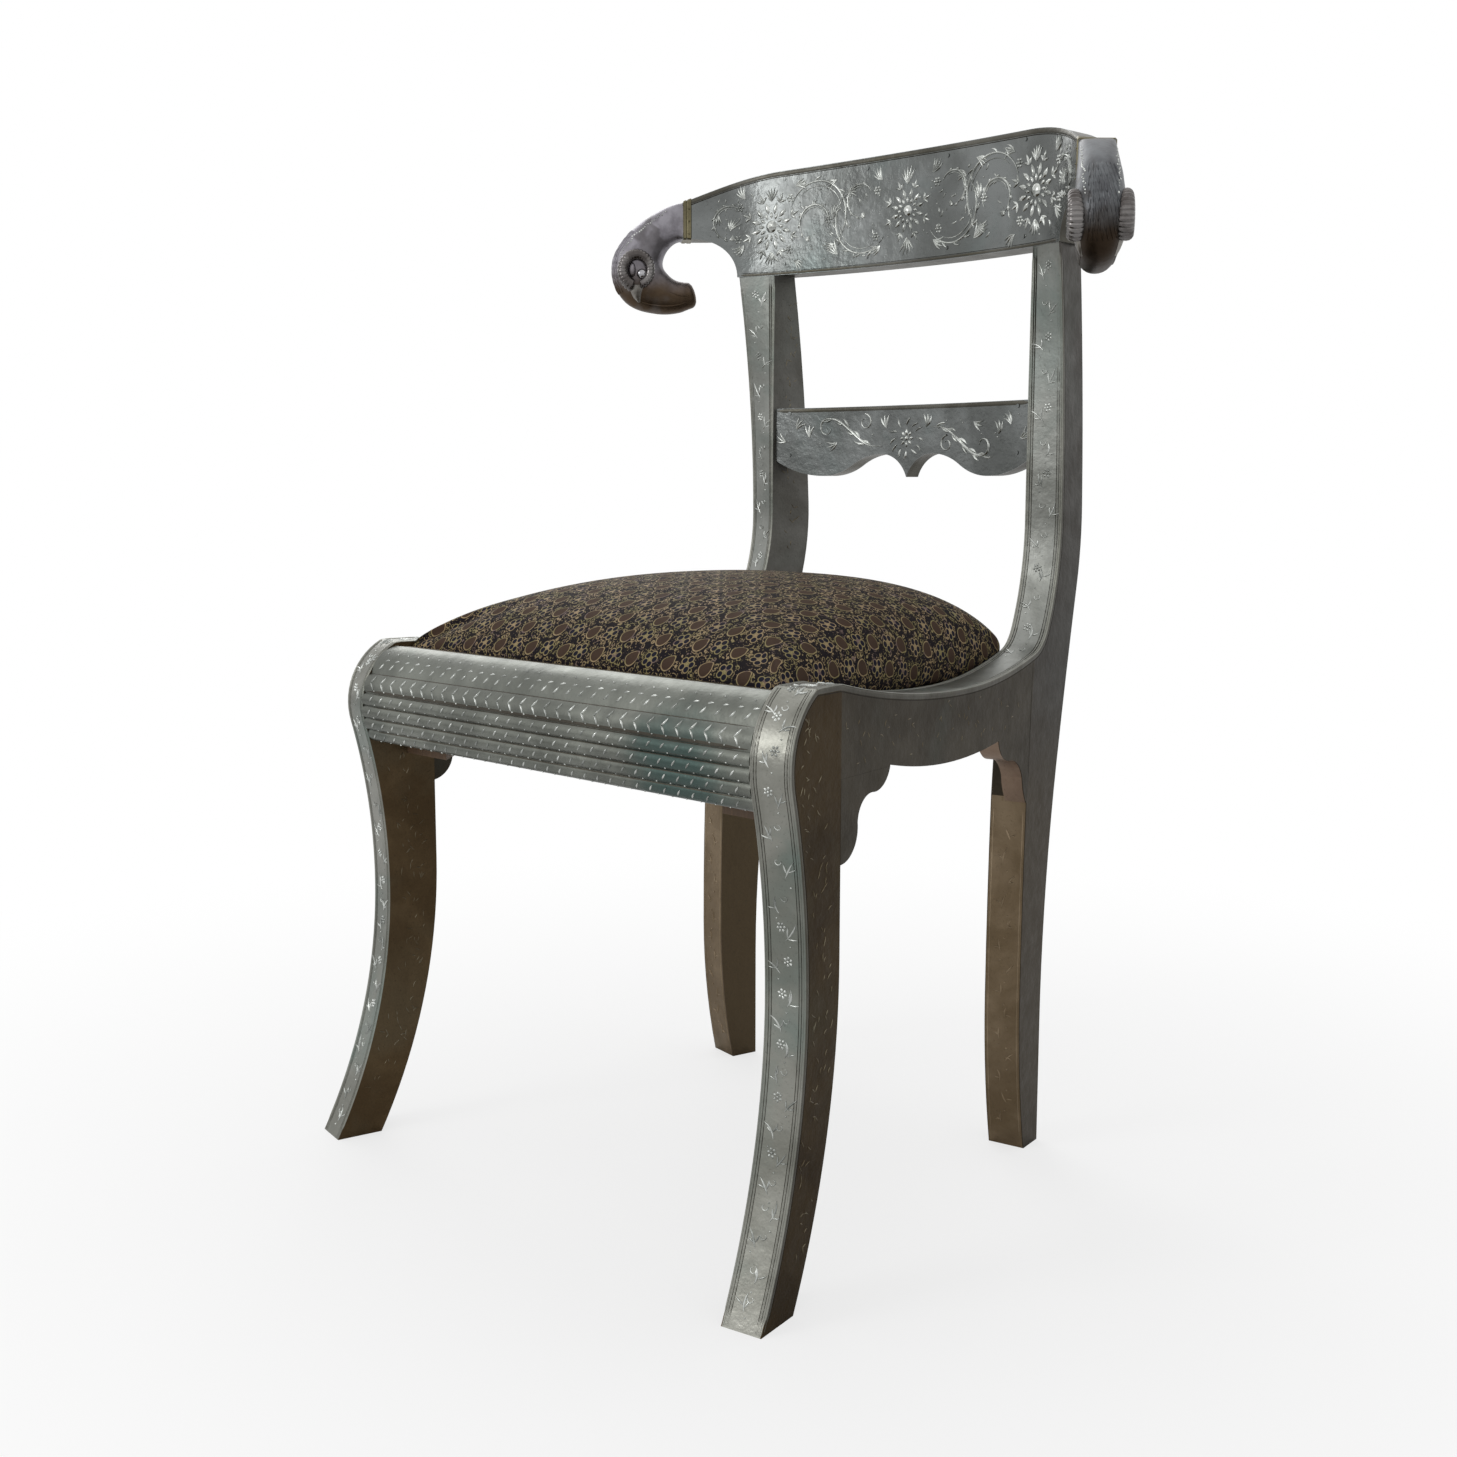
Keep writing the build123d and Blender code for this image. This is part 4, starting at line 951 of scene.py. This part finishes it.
def open_scroll(work, u, z, radius, start, sweep):
    """A large open curve with a spray at its end and small leaves along its inside."""
    line = circle_run((u, z), radius, start, start + sweep, 24)
    work.stroke(line, 1.3, 1.4, leafy)
    inner = [(u + (x - u) * 0.86, z + (y - z) * 0.86) for x, y in line[3:18]]
    work.stroke(inner, 0.7, 1.0, leafy)
    turn = math.copysign(1, sweep)
    for i in range(4, 23, 3):
        heading = start + sweep * i / 24 + turn * 90
        work.leaf(*line[i], heading - turn * 38, radius * 0.3, 1.2, 1.2, turn * 40)
    spray(work, *line[-1], start + sweep + turn * 90, radius * 0.42, 4, turn * 55)


def crest_band(u):
    """Heights of the crest rail's lower and upper edge at a place along it."""
    x = crest_plan(u, 0)[0]
    return crest_low_z(x), crest_top_z(x)


def crest_run(side):
    rosette(crest_work, side * 160, CREST_MID - 2, 1.15)
    for u, z, radius, start, sweep in CREST_SCROLLS:
        open_scroll(crest_work, side * u, CREST_MID + z, radius, sided(side, start), side * sweep)
    for u, z, heading, length, count, curl in CREST_SPRAYS:
        spray(crest_work, side * u, CREST_MID + z, sided(side, heading), length, count, side * curl)
    for u, z, heading in CREST_FLOWERS:
        spray(crest_work, side * u, CREST_MID + z, sided(side, heading), 15, 4, side * 45)
        crest_work.flower(side * (u + 6), CREST_MID + z * 0.7, 4.6, 6, 1.1)
    for i in range(22):
        u = side * chance.uniform(30, 205)
        low, top = crest_band(u)
        crest_work.leaf(u, chance.uniform(low + 12, top - 16), chance.uniform(0, 360),
                        chance.uniform(4, 8), 0.9, 0.9, chance.uniform(-80, 80))
    for i in range(26):
        u = side * chance.uniform(12, 225)
        low, top = crest_band(u)
        crest_work.boss(u, chance.uniform(low + 8, top - 15), 0.9, 0.9, 7)
    for i in range(21):
        column, row = divmod(i, 7)
        u = side * (196 + 11 * column) + chance.uniform(-2, 2)
        z = CREST_MID - 22 + 9 * row
        low, top = crest_band(u)
        if low + 6 < z < top - 12:
            crest_work.leaf(u, z, chance.uniform(75, 105), 4.5, 0.8, 0.9)


rosette(crest_work, 0, CREST_MID - 1, 1.0)
for side in (1, -1):
    crest_run(side)
spray(crest_work, 0, CREST_MID + 23, 90, 17, 5, 0)
spray(crest_work, 0, CREST_MID - 25, -90, 17, 5, 0)
crest_work.make("crest_relief", RAISED_GLINTS)

crest_edge = Relief(on_crest)
crest_dark = Relief(on_crest)
top_line = [(u, crest_band(u)[1]) for u, _ in level(crest_length, 60, 0)]
low_line = [(u, CREST_BOTTOM) for u, _ in top_line if abs(crest_plan(u, 0)[0]) < EAR_START_X]
crest_edge.stroke([(u, z - 2.6) for u, z in top_line], 2.4, 0.4)
crest_edge.stroke([(u, z + 1.6) for u, z in low_line], 1.4, 0.35)
crest_dark.stroke([(u, z - 5.4) for u, z in top_line], 0.5, 0.14)
crest_dark.stroke([(u, z + 3.4) for u, z in low_line], 0.35, 0.12)
crest_edge.make("crest_border", EDGE)
crest_dark.make("crest_lines", DARK)

# Splat: a flower in a ring of leaves, a sweeping stem to each side, sprays between them
splat_work = Relief(on_splat)
SPLAT_MID = 632
splat_work.flower(0, SPLAT_MID, 8.5, 8, 1.3)
for heading in range(0, 360, 30):
    a = math.radians(heading)
    splat_work.leaf(13 * math.cos(a), SPLAT_MID + 12 * math.sin(a), heading + chance.uniform(-20, 20),
                    9, 1.3, 1.2, chance.choice((-50, 50)))


def smooth(span, share):
    """A share of a span, eased at both ends."""
    return span * share * share * (3 - 2 * share)


def splat_low(u):
    """Height of the splat's scalloped lower edge, a little on the safe side near the middle."""
    reach = abs(u)
    if reach > SPLAT_LOBE_X:
        share = min((reach - SPLAT_LOBE_X) / (SPLAT_END_X - SPLAT_LOBE_X), 1)
        return SPLAT_LOW_LOBE + smooth(SPLAT_LOW_END - SPLAT_LOW_LOBE, share)
    share = max((reach - SPLAT_LOBE_START) / (SPLAT_LOBE_X - SPLAT_LOBE_START), 0)
    return SPLAT_LOW_MIDDLE + smooth(SPLAT_LOW_LOBE - SPLAT_LOW_MIDDLE, share)


def splat_leaf(u, z, heading, length, width, height, bend=0.0):
    """A leaf, unless it would leave the plate."""
    tip_u, tip_z = around(u, z, length, math.radians(heading))
    if splat_low(tip_u) + 3 < tip_z < SPLAT_TOP - 6:
        splat_work.leaf(u, z, heading, length, width, height, bend)


def splat_stem(side, base, rise):
    """A stem that sweeps away from the flower and curls over at its end, with leaves on both sides."""
    line = []
    for i in range(21):
        reach = 30 + 66 * i / 20
        share = min(max((reach - 40) / 52, 0), 1)
        line.append((side * reach, base + smooth(rise, share)))
    u, z = line[-1]
    curl = 9.0 if rise > 0 else -9.0
    for i in range(1, 15):
        a = math.radians(19 * i)
        size = 1 - 0.035 * i
        line.append((u + side * 9 * size * math.sin(a), z - curl * (1 - size * math.cos(a))))
    splat_work.stroke(line, 1.7, 1.5, leafy)
    for i in range(2, 21, 2):
        (xa, ya), (xb, yb) = line[i - 1], line[i + 1]
        heading = math.degrees(math.atan2(yb - ya, xb - xa))
        turn = 36 if i % 4 else -36
        splat_leaf(*line[i], heading + turn, chance.uniform(10, 15), 1.5, 1.3, -1.4 * turn)


for side, base, rise in ((-1, 625, 27), (1, 642, -27)):
    splat_stem(side, base, rise)
    splat_work.scroll(side * 50, 648 if rise > 0 else 626, 8, 2.5, 90, 1.2 * side, 1.1, 1.2)
    bend_z = base + 0.8 * rise + (0 if rise > 0 else 28)
    for reach, z, heading in ((24, 642, 60), (66, bend_z, 100), (84, base + 4, -40),
                              (116, 634, 70), (132, 642, 110), (128, 618, -70), (144, 630, 10)):
        for turn in (-24, 0, 24):
            splat_leaf(side * reach, z, sided(side, heading) + turn, 13, 1.3, 1.2, 45 * side)
    for i in range(12):
        splat_work.boss(side * chance.uniform(20, 146), chance.uniform(628, 654), 0.8, 0.8, 7)
splat_work.make("splat_relief", RAISED_GLINTS)

splat_edge = Relief(on_splat)
splat_reach = SPLAT_RADIUS * math.asin((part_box("splat_front_plate")[1].x / MM - 1) / SPLAT_RADIUS)
splat_edge.stroke(level(splat_reach, 20, SPLAT_TOP - 2.4), 2.1, 0.4)
splat_edge.make("splat_border", EDGE)

# Reeded front rail: chevrons on the flat band, slanting ticks and dots on the reeds
reed_work = Relief(on_reeds)
rail_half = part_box("front_rail_reeded_cover")[1].x / MM - 3
REED_PITCH = 15.2
reed_low = 0.0
for index, width in enumerate(REED_WIDTHS):
    for i in range(int((2 * rail_half - 12) / REED_PITCH) + 1):
        x = -rail_half + 7 + i * REED_PITCH + (index % 2) * 3
        if abs(x) > rail_half - 5:
            continue
        if index < 4:
            reed_work.leaf(x, reed_low + width * 0.38, 62, width * 0.52, 0.95, 0.9, -24)
            reed_work.boss(x + 7, reed_low + 1.6, 0.9, 0.9, 7)
        elif index == 4:
            for side in (1, -1):
                reed_work.leaf(x, reed_low + width * 0.5, 38 * side, 8.0, 1.0, 0.9, 40 * side)
            reed_work.boss(x + 6.5, reed_low + 2.4, 0.9, 0.9, 7)
        else:
            reed_work.leaf(x, reed_low + width * 0.13, 35, 7.0, 0.9, 0.8, 30)
            reed_work.leaf(x + 5, reed_low + width * 0.36, 25, 6.0, 0.8, 0.7, -30)
            reed_work.boss(x + 2, reed_low + width * 0.6, 0.8, 0.7, 7)
    reed_low += width
reed_work.make("front_rail_ticks", RAISED_GLINTS)
# Dark strokes along the grooves between the reeds: painted shade.
groove_shade = Relief(on_reeds)
groove = 0.0
for width in REED_WIDTHS[:-1]:
    groove_shade.stroke(level(rail_half - 1, 12, groove + 1.6), 1.5, 0.1)
    groove += width
    groove_shade.stroke(level(rail_half - 1, 12, groove - 0.6), 0.6, 0.1)
groove_shade.make("front_rail_groove_shade", REED_DIM)


# Brass collars where the heads meet the crest rail
def collar(name, side):
    verts = []
    rows = ((9.0, 0.1), (8.4, 0.9), (5.2, 0.9), (4.7, 0.5), (4.0, 0.5), (3.5, 0.9), (1.0, 0.9), (0.4, 0.1))
    for back, proud in rows:
        u = side * (crest_length - back)
        loop = []
        for depth, top in ((-proud, 0), (-proud, 1), (CREST_DEPTH + proud, 1), (CREST_DEPTH + proud, 0)):
            x, y = crest_plan(u, depth)
            z = crest_top_z(x) + proud if top else crest_low_z(x) - proud
            loop.append(Vector((x, y, z)))
        for k in range(4):
            a, b = loop[k], loop[(k + 1) % 4]
            verts += [a.lerp(b, 0.04), a.lerp(b, 0.5), a.lerp(b, 0.96)]
    faces = quads(0, len(rows) - 1, 12)
    if side > 0:
        faces = [face[::-1] for face in faces]
    return mesh_piece(name, verts, faces, BRASS, smooth=False)


collar("right_collar", 1)
collar("left_collar", -1)
collar_pins = Relief(on_crest)
for side in (1, -1):
    for i in range(3):
        collar_pins.boss(side * (crest_length - 6.6), CREST_END_LOW_Z + 5 + 12 * i, 1.1, 1.9, 10)
collar_pins.make("collar_pins", BRASS)


# Ram's heads: a hooked neck and muzzle, ribbed horns, eyes, ears and a combed forehead
def head_value(column, angle):
    """Smooth value of one column of the head's sections at an angle."""
    rows = HEAD_SECTIONS
    for i in range(len(rows) - 1):
        a, b = rows[i], rows[i + 1]
        if a[0] >= angle >= b[0]:
            before = rows[max(i - 1, 0)]
            after = rows[min(i + 2, len(rows) - 1)]
            t = (a[0] - angle) / (a[0] - b[0])
            m0 = (b[column] - before[column]) / 2
            m1 = (after[column] - a[column]) / 2
            return ((2 * t**3 - 3 * t**2 + 1) * a[column] + (t**3 - 2 * t**2 + t) * m0
                    + (3 * t**2 - 2 * t**3) * b[column] + (t**3 - t**2) * m1)
    return rows[0][column] if angle > rows[0][0] else rows[-1][column]


end_x, end_y = crest_plan(crest_length, CREST_DEPTH / 2)
end_turn = math.radians(CREST_END_ANGLE)
head_out = Vector((math.cos(end_turn), -math.sin(end_turn), 0))
head_up = Vector((0, 0, 1))
head_side = head_up.cross(head_out)
hollow = Vector((end_x, end_y, (CREST_END_TOP_Z + CREST_END_LOW_Z) / 2 - HEAD_HOLLOW_DROP))


def head_place(out, up, aside):
    return hollow + head_out * out + head_up * up + head_side * aside


def head_skin(angle, phi, h=0.0):
    """Point on the hook: angle about its hollow, phi round the section from the outer side."""
    inner, outer, width = (head_value(column, angle) for column in (1, 2, 3))
    c, s = math.cos(phi), math.sin(phi)
    square = min(max((angle - 45) / 45, 0.0), 1.0)
    swell = 0.94 - 0.74 * square**1.5
    across = math.copysign(abs(s) ** swell, s) * (width / 2 + h)
    radial = (inner + outer) / 2 + math.copysign(abs(c) ** swell, c) * ((outer - inner) / 2 + h)
    a = math.radians(angle)
    return head_place(radial * math.cos(a), radial * math.sin(a), across)


def hook():
    body = Solid()
    count = 30
    steps = 77
    start, end = HEAD_SECTIONS[0][0], HEAD_SECTIONS[-1][0]
    rings = [[head_skin(start, math.tau * k / count) - head_out * HEAD_OVERLAP for k in range(count)]]
    for i in range(steps + 1):
        angle = start - (start - end) * i / steps
        rings.append([head_skin(angle, math.tau * k / count) for k in range(count)])
    last = rings[-1]
    middle = sum(last, Vector()) / count
    way = head_place(math.sin(math.radians(end)), -math.cos(math.radians(end)), 0) - hollow
    for share, ahead in ((0.9, 2.4), (0.68, 4.4), (0.34, 5.4)):
        rings.append([middle + (p - middle) * share + way * ahead for p in last])
    body.tube(rings)
    return body


def horn(sign):
    """Thick ribbed horn, a ring on the side of the head, thinning towards its tip."""
    rings = []
    steps = 260
    for i in range(steps + 1):
        t = i / steps
        a = math.radians(HORN_START + HORN_SWEEP * t)
        reach = HORN_RING - 1.6 * t
        groove = 1 - abs(math.sin(math.pi * HORN_RIBS * t)) ** 0.6
        size = HORN_SIZE - 2.0 * t
        aside = sign * (20.3 + 0.6 * t)
        ring = []
        for k in range(16):
            b = math.tau * k / 16
            wire = size * (1.02 - 0.18 * groove * max(math.cos(b), 0.15))
            r = reach + wire * math.cos(b)
            deep = 1.0 if math.sin(b) > 0 else 1.9
            ring.append(head_place(HORN_OUT + r * math.cos(a), HORN_UP + 1.1 * r * math.sin(a),
                                   aside + sign * wire * deep * math.sin(b)))
        rings.append(ring if sign > 0 else ring[::-1])
    solid = Solid()
    solid.tube(rings)
    return solid


def ball(centre, radius, squash=1.0, tall=1.0):
    rings = []
    for i in range(1, 10):
        a = math.pi * i / 10
        ring = []
        for k in range(16):
            b = math.tau * k / 16
            ring.append(centre + head_side * (radius * squash * math.cos(a))
                        + head_out * (radius * math.sin(a) * math.cos(b))
                        + head_up * (tall * radius * math.sin(a) * math.sin(b)))
        rings.append(ring)
    solid = Solid()
    solid.tube(rings)
    return solid


def on_head(u, v, h):
    """Point on the hook: u along its back from the collar, v round it from the ridge."""
    return head_skin(HEAD_SECTIONS[0][0] - u / HEAD_MM_PER_DEGREE, v / HEAD_MM_PER_RADIAN, h)


hair = Relief(on_head)
ridge = Relief(on_head)
for row in range(9):
    u = 50 + row * 5.6
    for k in range(-3, 4):
        v = k * 3.4 + (row % 2) * 1.6
        hair.leaf(u, v, 12 + 9 * k, 8.0, 1.0, 0.8, -8 * k)
# Speckles along the neck's ridge: small bosses in the raised work's colour, whose bright patches are painted
# glints.
for sign in (1, -1):
    for i in range(26):
        v = sign * (18.5 - 0.15 * i) + chance.uniform(-2, 2)
        ridge.boss(16 + i * 2.3, v, chance.uniform(0.6, 1.2), 0.45, 7)
lips = Relief(on_head)
ears = Relief(on_head)
for sign in (1, -1):
    ears.stroke([(102 + 1.5 * i, sign * (26 - 1.0 * i)) for i in range(11)], 7.0, 2.2, tailed)
    lips.stroke([(112 + i * 2.6, sign * (17 + i * 0.25)) for i in range(25)], 0.9, 0.7, leafy)
    lips.stroke([(138 + i * 1.8, sign * (36 - i * 0.35)) for i in range(20)], 0.7, 0.6, leafy)
    lips.boss(170, sign * 30, 1.6, 0.9)

right_head = hook()
right_horns = Solid()
right_eyes = Solid()
for sign in (1, -1):
    right_eyes.add(ball(head_place(HORN_OUT - 4.6, HORN_UP - 3.4, sign * 20.6), 5.0, 0.8))
    right_head.add(ball(head_place(HORN_OUT + 5.0, HORN_UP + 0.5, sign * 18.8), 3.8, 0.9, 2.0))
    right_horns.add(horn(sign))
right_head.add(hair)
right_head.add(lips)
ears.make_pair("ram_ears", EAR, "cast_head")
ridge.make_pair("ram_ridge", RAISED_GLINTS, "cast_head")
for prefix, sign in SIDES:
    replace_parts(right_head.make(prefix + "ram", RAM, sign, "cast_head"), prefix + "rams_head")
    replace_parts(right_horns.make(prefix + "ram_horns", HORN, sign, "cast_head"), prefix + "horns")
    right_eyes.make(prefix + "ram_eyes", EYE, sign, "cast_head")


# Seat cushion: crowned, tight over its frame, drawn in at the foot
SEAT_FRONT_Y = -349.0
SEAT_REAR_Y = 2.0
SEAT_INSET = 37.0
CROWN = 515.0
EDGE_Z = 452.0
FOOT_Z = 425.2
SWELL_ROOM = 4.0
SWELL_CAP = 6.0
CORNER_ROUNDING = 0.012
HELD_Z = 447.0
WEAVE_UNIT = 42.0
# Foot of the cover: how far each ring is drawn in, and its height
FOOT_RINGS = ((1.0, 446.0), (0.995, 440.0), (0.985, 433.0), (0.97, 427.0), (0.955, FOOT_Z), (0.66, FOOT_Z),
              (0.33, FOOT_Z))
CLOTH = {"quality": 6, "mass": 0.3, "tension_stiffness": 30, "compression_stiffness": 30,
         "shear_stiffness": 15, "bending_stiffness": 2.0, "use_pressure": True, "uniform_pressure_force": 4.0}
CLOTH_FRAMES = 20


def seat_half(y):
    s = -(y + SEAT_INSET * math.sin(SPLAY)) / math.cos(SPLAY)
    return REAR_HALF_WIDTH + s * math.sin(SPLAY) - SEAT_INSET * math.cos(SPLAY)


def seat_rise(p, q):
    away = q - 0.2
    power, root, reach = (2.34, 0.68, 1.2) if away < 0 else (3.02, 0.545, 0.8)
    along = max(0.0, 1 - min(1.0, abs(away) / reach) ** power) ** root
    across = max(0.0, 1 - min(1.0, abs(p)) ** 2.7) ** 0.36
    return along * across


def eased(i, count):
    """Places from -1 to 1 that crowd towards both ends."""
    t = 2 * i / count - 1
    return math.sin(t * math.pi / 2) * 0.6 + t * 0.4


def cushion():
    columns, rows = 84, 76
    verts = []
    for j in range(rows + 1):
        q = eased(j, rows)
        for i in range(columns + 1):
            p = eased(i, columns)
            round_p = p * math.sqrt(1 - CORNER_ROUNDING * q**8)
            round_q = q * math.sqrt(1 - CORNER_ROUNDING * p**8)
            y = (SEAT_FRONT_Y + SEAT_REAR_Y) / 2 + round_q * (SEAT_REAR_Y - SEAT_FRONT_Y) / 2
            z = EDGE_Z + (CROWN - SWELL_ROOM - EDGE_Z) * seat_rise(p, q)
            verts.append(Vector((round_p * (seat_half(y) + 1.0), y + shift, z)))
    wide = columns + 1
    faces = quads(0, rows, wide, closed=False)
    rim = list(range(columns)) + [j * wide + columns for j in range(rows)]
    rim += [rows * wide + i for i in range(columns, 0, -1)] + [j * wide for j in range(rows, 0, -1)]
    centre = Vector((0, (SEAT_FRONT_Y + SEAT_REAR_Y) / 2 + shift, 0))
    last = rim
    for draw, z in FOOT_RINGS:
        ring = []
        for k in rim:
            flat = Vector((verts[k].x, verts[k].y, 0))
            p = centre + (flat - centre) * draw
            verts.append(Vector((p.x, p.y, z)))
            ring.append(len(verts) - 1)
        for k in range(len(rim)):
            n = (k + 1) % len(rim)
            faces.append((last[n], last[k], ring[k], ring[n]))
        last = ring
    verts.append(Vector((centre.x, centre.y, FOOT_Z)))
    hub = len(verts) - 1
    for k in range(len(rim)):
        faces.append((last[(k + 1) % len(rim)], last[k], hub))
    return verts, faces, wide, rows, rim


def swollen(piece, held):
    """Cloth under pressure, held at its foot; no point moves further than the cap."""
    start = [v.co.copy() for v in piece.data.vertices]
    group = piece.vertex_groups.new(name="held")
    group.add(held, 1.0, "REPLACE")
    cloth = piece.modifiers.new("cloth", "CLOTH")
    for key, value in CLOTH.items():
        setattr(cloth.settings, key, value)
    cloth.settings.effector_weights.gravity = 0.0
    cloth.settings.vertex_group_mass = "held"
    cloth.point_cache.frame_start = 1
    cloth.point_cache.frame_end = CLOTH_FRAMES
    scene = bpy.context.scene
    for f in range(1, CLOTH_FRAMES + 1):
        scene.frame_set(f)
        bpy.context.view_layer.update()
    shown = piece.evaluated_get(bpy.context.evaluated_depsgraph_get())
    ends = [v.co.copy() for v in shown.data.vertices]
    piece.modifiers.remove(cloth)
    for vertex, a, b in zip(piece.data.vertices, start, ends):
        move = b - a
        if move.length > SWELL_CAP * MM:
            move = move.normalized() * SWELL_CAP * MM
        vertex.co = a + move
    scene.frame_set(1)


def centred_lengths(line):
    """Lengths along a line of points, from its middle."""
    lengths = [0.0]
    for a, b in zip(line, line[1:]):
        lengths.append(lengths[-1] + (b - a).length)
    return [length - lengths[-1] / 2 for length in lengths]


cushion_verts, cushion_faces, wide, rows, seat_rim = cushion()
seat = mesh_piece("brocade_cushion", cushion_verts, cushion_faces, BROCADE, body="drop_in_seat")
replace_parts(seat, "seat_cushion")
weave = seat.data.uv_layers.new(name="weave")
first_ring = wide * (rows + 1)
across = [centred_lengths(cushion_verts[k:k + wide]) for k in range(0, first_ring, wide)]
along = [centred_lengths(cushion_verts[i:first_ring:wide]) for i in range(wide)]
flat = [(across[j][i], along[i][j]) for j in range(rows + 1) for i in range(wide)]
for k in range(first_ring, len(cushion_verts)):
    edge = seat_rim[(k - first_ring) % len(seat_rim)]
    drop = EDGE_Z - cushion_verts[k].z
    u, v = flat[edge]
    if edge < wide or edge >= rows * wide:
        v += math.copysign(drop, v)
    else:
        u += math.copysign(drop, u)
    flat.append((u, v))
for loop in seat.data.loops:
    u, v = flat[loop.vertex_index]
    weave.data[loop.index].uv = (u / WEAVE_UNIT, v / WEAVE_UNIT)
swollen(seat, [k for k, p in enumerate(cushion_verts) if p.z < HELD_Z])
seat.modifiers.new("smooth", "SUBSURF").render_levels = 1

# The cover's edge, drawn over the seat frame's top and sides
frame_low, frame_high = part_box("seat_frame_front")
frame_front, frame_rear = frame_low.y / MM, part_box("seat_frame_rear")[1].y / MM
front_half = frame_high.x / MM
rear_half = front_half - (frame_rear - frame_front) * math.tan(SPLAY)
frame_foot, frame_top = frame_low.z / MM, frame_high.z / MM
TURN_PROFILE = [(0.3, frame_foot + 0.8), (0.8, frame_foot + 1.4), (1.0, frame_top - 9), (0.9, frame_top - 2),
                (0.3, frame_top), (-1.2, frame_top + 0.8), (-8, frame_top + 2.0), (-18, frame_top + 4.5),
                (-18, frame_top - 0.4), (-1.2, frame_top - 0.6),
                (-0.4, frame_top - 2), (-0.4, frame_foot + 1.4)]
SIDE_STEPS = 24


def turned_edge():
    """Closed band round the frame: one loop of points for each place of the profile."""
    verts = []
    for out, z in TURN_PROFILE:
        aside = out / math.cos(SPLAY)
        front = front_half + out * math.tan(SPLAY) + aside
        rear = rear_half - out * math.tan(SPLAY) + aside
        corners = [Vector((-front, frame_front - out, z)), Vector((front, frame_front - out, z)),
                   Vector((rear, frame_rear + out, z)), Vector((-rear, frame_rear + out, z))]
        for a, b in zip(corners, corners[1:] + corners[:1]):
            verts += [a + (b - a) * i / SIDE_STEPS for i in range(SIDE_STEPS)]
    faces = quads(0, len(TURN_PROFILE), 4 * SIDE_STEPS)
    return verts, [tuple(k % len(verts) for k in face) for face in faces]


turn_verts, turn_faces = turned_edge()
edge = mesh_piece("brocade_turned_edge", turn_verts, turn_faces, BROCADE, body="drop_in_seat",
                  smooth=False)
edge_weave = edge.data.uv_layers.new(name="weave")
for face in edge.data.polygons:
    upright = abs(face.normal.z) < 0.6
    sideways = abs(face.normal.x) > abs(face.normal.y)
    for k in face.loop_indices:
        x, y, z = (c / MM for c in edge.data.vertices[edge.data.loops[k].vertex_index].co)
        u = y if upright and sideways else x
        v = z if upright else z - y
        edge_weave.data[k].uv = (u / WEAVE_UNIT, v / WEAVE_UNIT)

# Camera at the photograph's place, seen as a square frame; metres and degrees
LENS = 43.76
CAMERA_X, CAMERA_Y, CAMERA_Z = 1.0965, -1.2520, 0.5962
CAMERA_DOWN = 8.106
CAMERA_TURN = 45.525
camera = bpy.data.cameras.new("camera")
camera.sensor_width = 36.0
camera.lens = LENS
view = bpy.data.objects.new("camera", camera)
view.location = (CAMERA_X, CAMERA_Y + shift * MM, CAMERA_Z)
view.rotation_euler = (math.radians(90 - CAMERA_DOWN), 0, math.radians(CAMERA_TURN))
bpy.context.scene.collection.objects.link(view)
bpy.context.scene.camera = view
bpy.context.scene.view_settings.view_transform = "Standard"


def lamp(name, place, aim, size, power):
    light = bpy.data.lights.new(name, "AREA")
    light.shape = "SQUARE"
    light.size = size
    light.energy = power
    piece = bpy.data.objects.new(name, light)
    piece.location = place
    piece.rotation_euler = (Vector(aim) - Vector(place)).to_track_quat("-Z", "Y").to_euler()
    bpy.context.scene.collection.objects.link(piece)


lamp("key", (-0.75, -2.15, 1.4), (0, 0, 0.65), 0.8, 9.5)
lamp("side", (-2.4, 1.3, 2.2), (0, 0, 0.5), 2.0, 26)
lamp("top", (-0.5, 0.6, 3.0), (0, 0, 0.4), 2.2, 7)

# White surroundings, dimmer as a source of light than as a thing seen
LIT_STRENGTH = 0.6
SEEN_STRENGTH = 1.0
world = bpy.data.worlds.new("studio")
bpy.context.scene.world = world
world.use_nodes = True
air = Graph(world.node_tree)
rays = air.node("ShaderNodeLightPath").outputs
seen = air.most(air.most(rays["Is Camera Ray"], rays["Is Glossy Ray"]), rays["Is Transmission Ray"])
strength = air.node("ShaderNodeMapRange", {"Value": seen, "To Min": LIT_STRENGTH, "To Max": SEEN_STRENGTH})
sky = air.tree.nodes["Background"].inputs
air.feed(sky["Color"], (1, 1, 1, 1))
air.feed(sky["Strength"], strength.outputs["Result"])
FLOOR_HALF = 30


def floor():
    mesh = bpy.data.meshes.new("floor")
    corners = [(x * FLOOR_HALF, y * FLOOR_HALF, 0) for x, y in ((-1, -1), (1, -1), (1, 1), (-1, 1))]
    mesh.from_pydata(corners, [], [(0, 1, 2, 3)])
    piece = bpy.data.objects.new("floor", mesh)
    bpy.context.scene.collection.objects.link(piece)
    g = Shader("pale_floor")
    g.set(**{"Base Color": (0.9, 0.9, 0.9, 1), "Roughness": 0.9, "Specular IOR Level": 0.0})
    glow = g.node("ShaderNodeEmission", {"Strength": 1.0})
    away = g.node("ShaderNodeVectorMath", {0: g.place()}, operation="LENGTH")
    reach = g.step(away.outputs["Value"], 0.3, 1.3)
    seen = g.node("ShaderNodeLightPath").outputs["Is Camera Ray"]
    share = g.mul(seen, g.add(g.mul(reach, 0.3), 0.7))
    blend = g.node("ShaderNodeMixShader", {0: share, 1: g.bsdf.outputs[0], 2: glow.outputs[0]})
    g.feed(g.tree.nodes["Material Output"].inputs["Surface"], blend.outputs[0])
    mesh.materials.append(g.material)


floor()
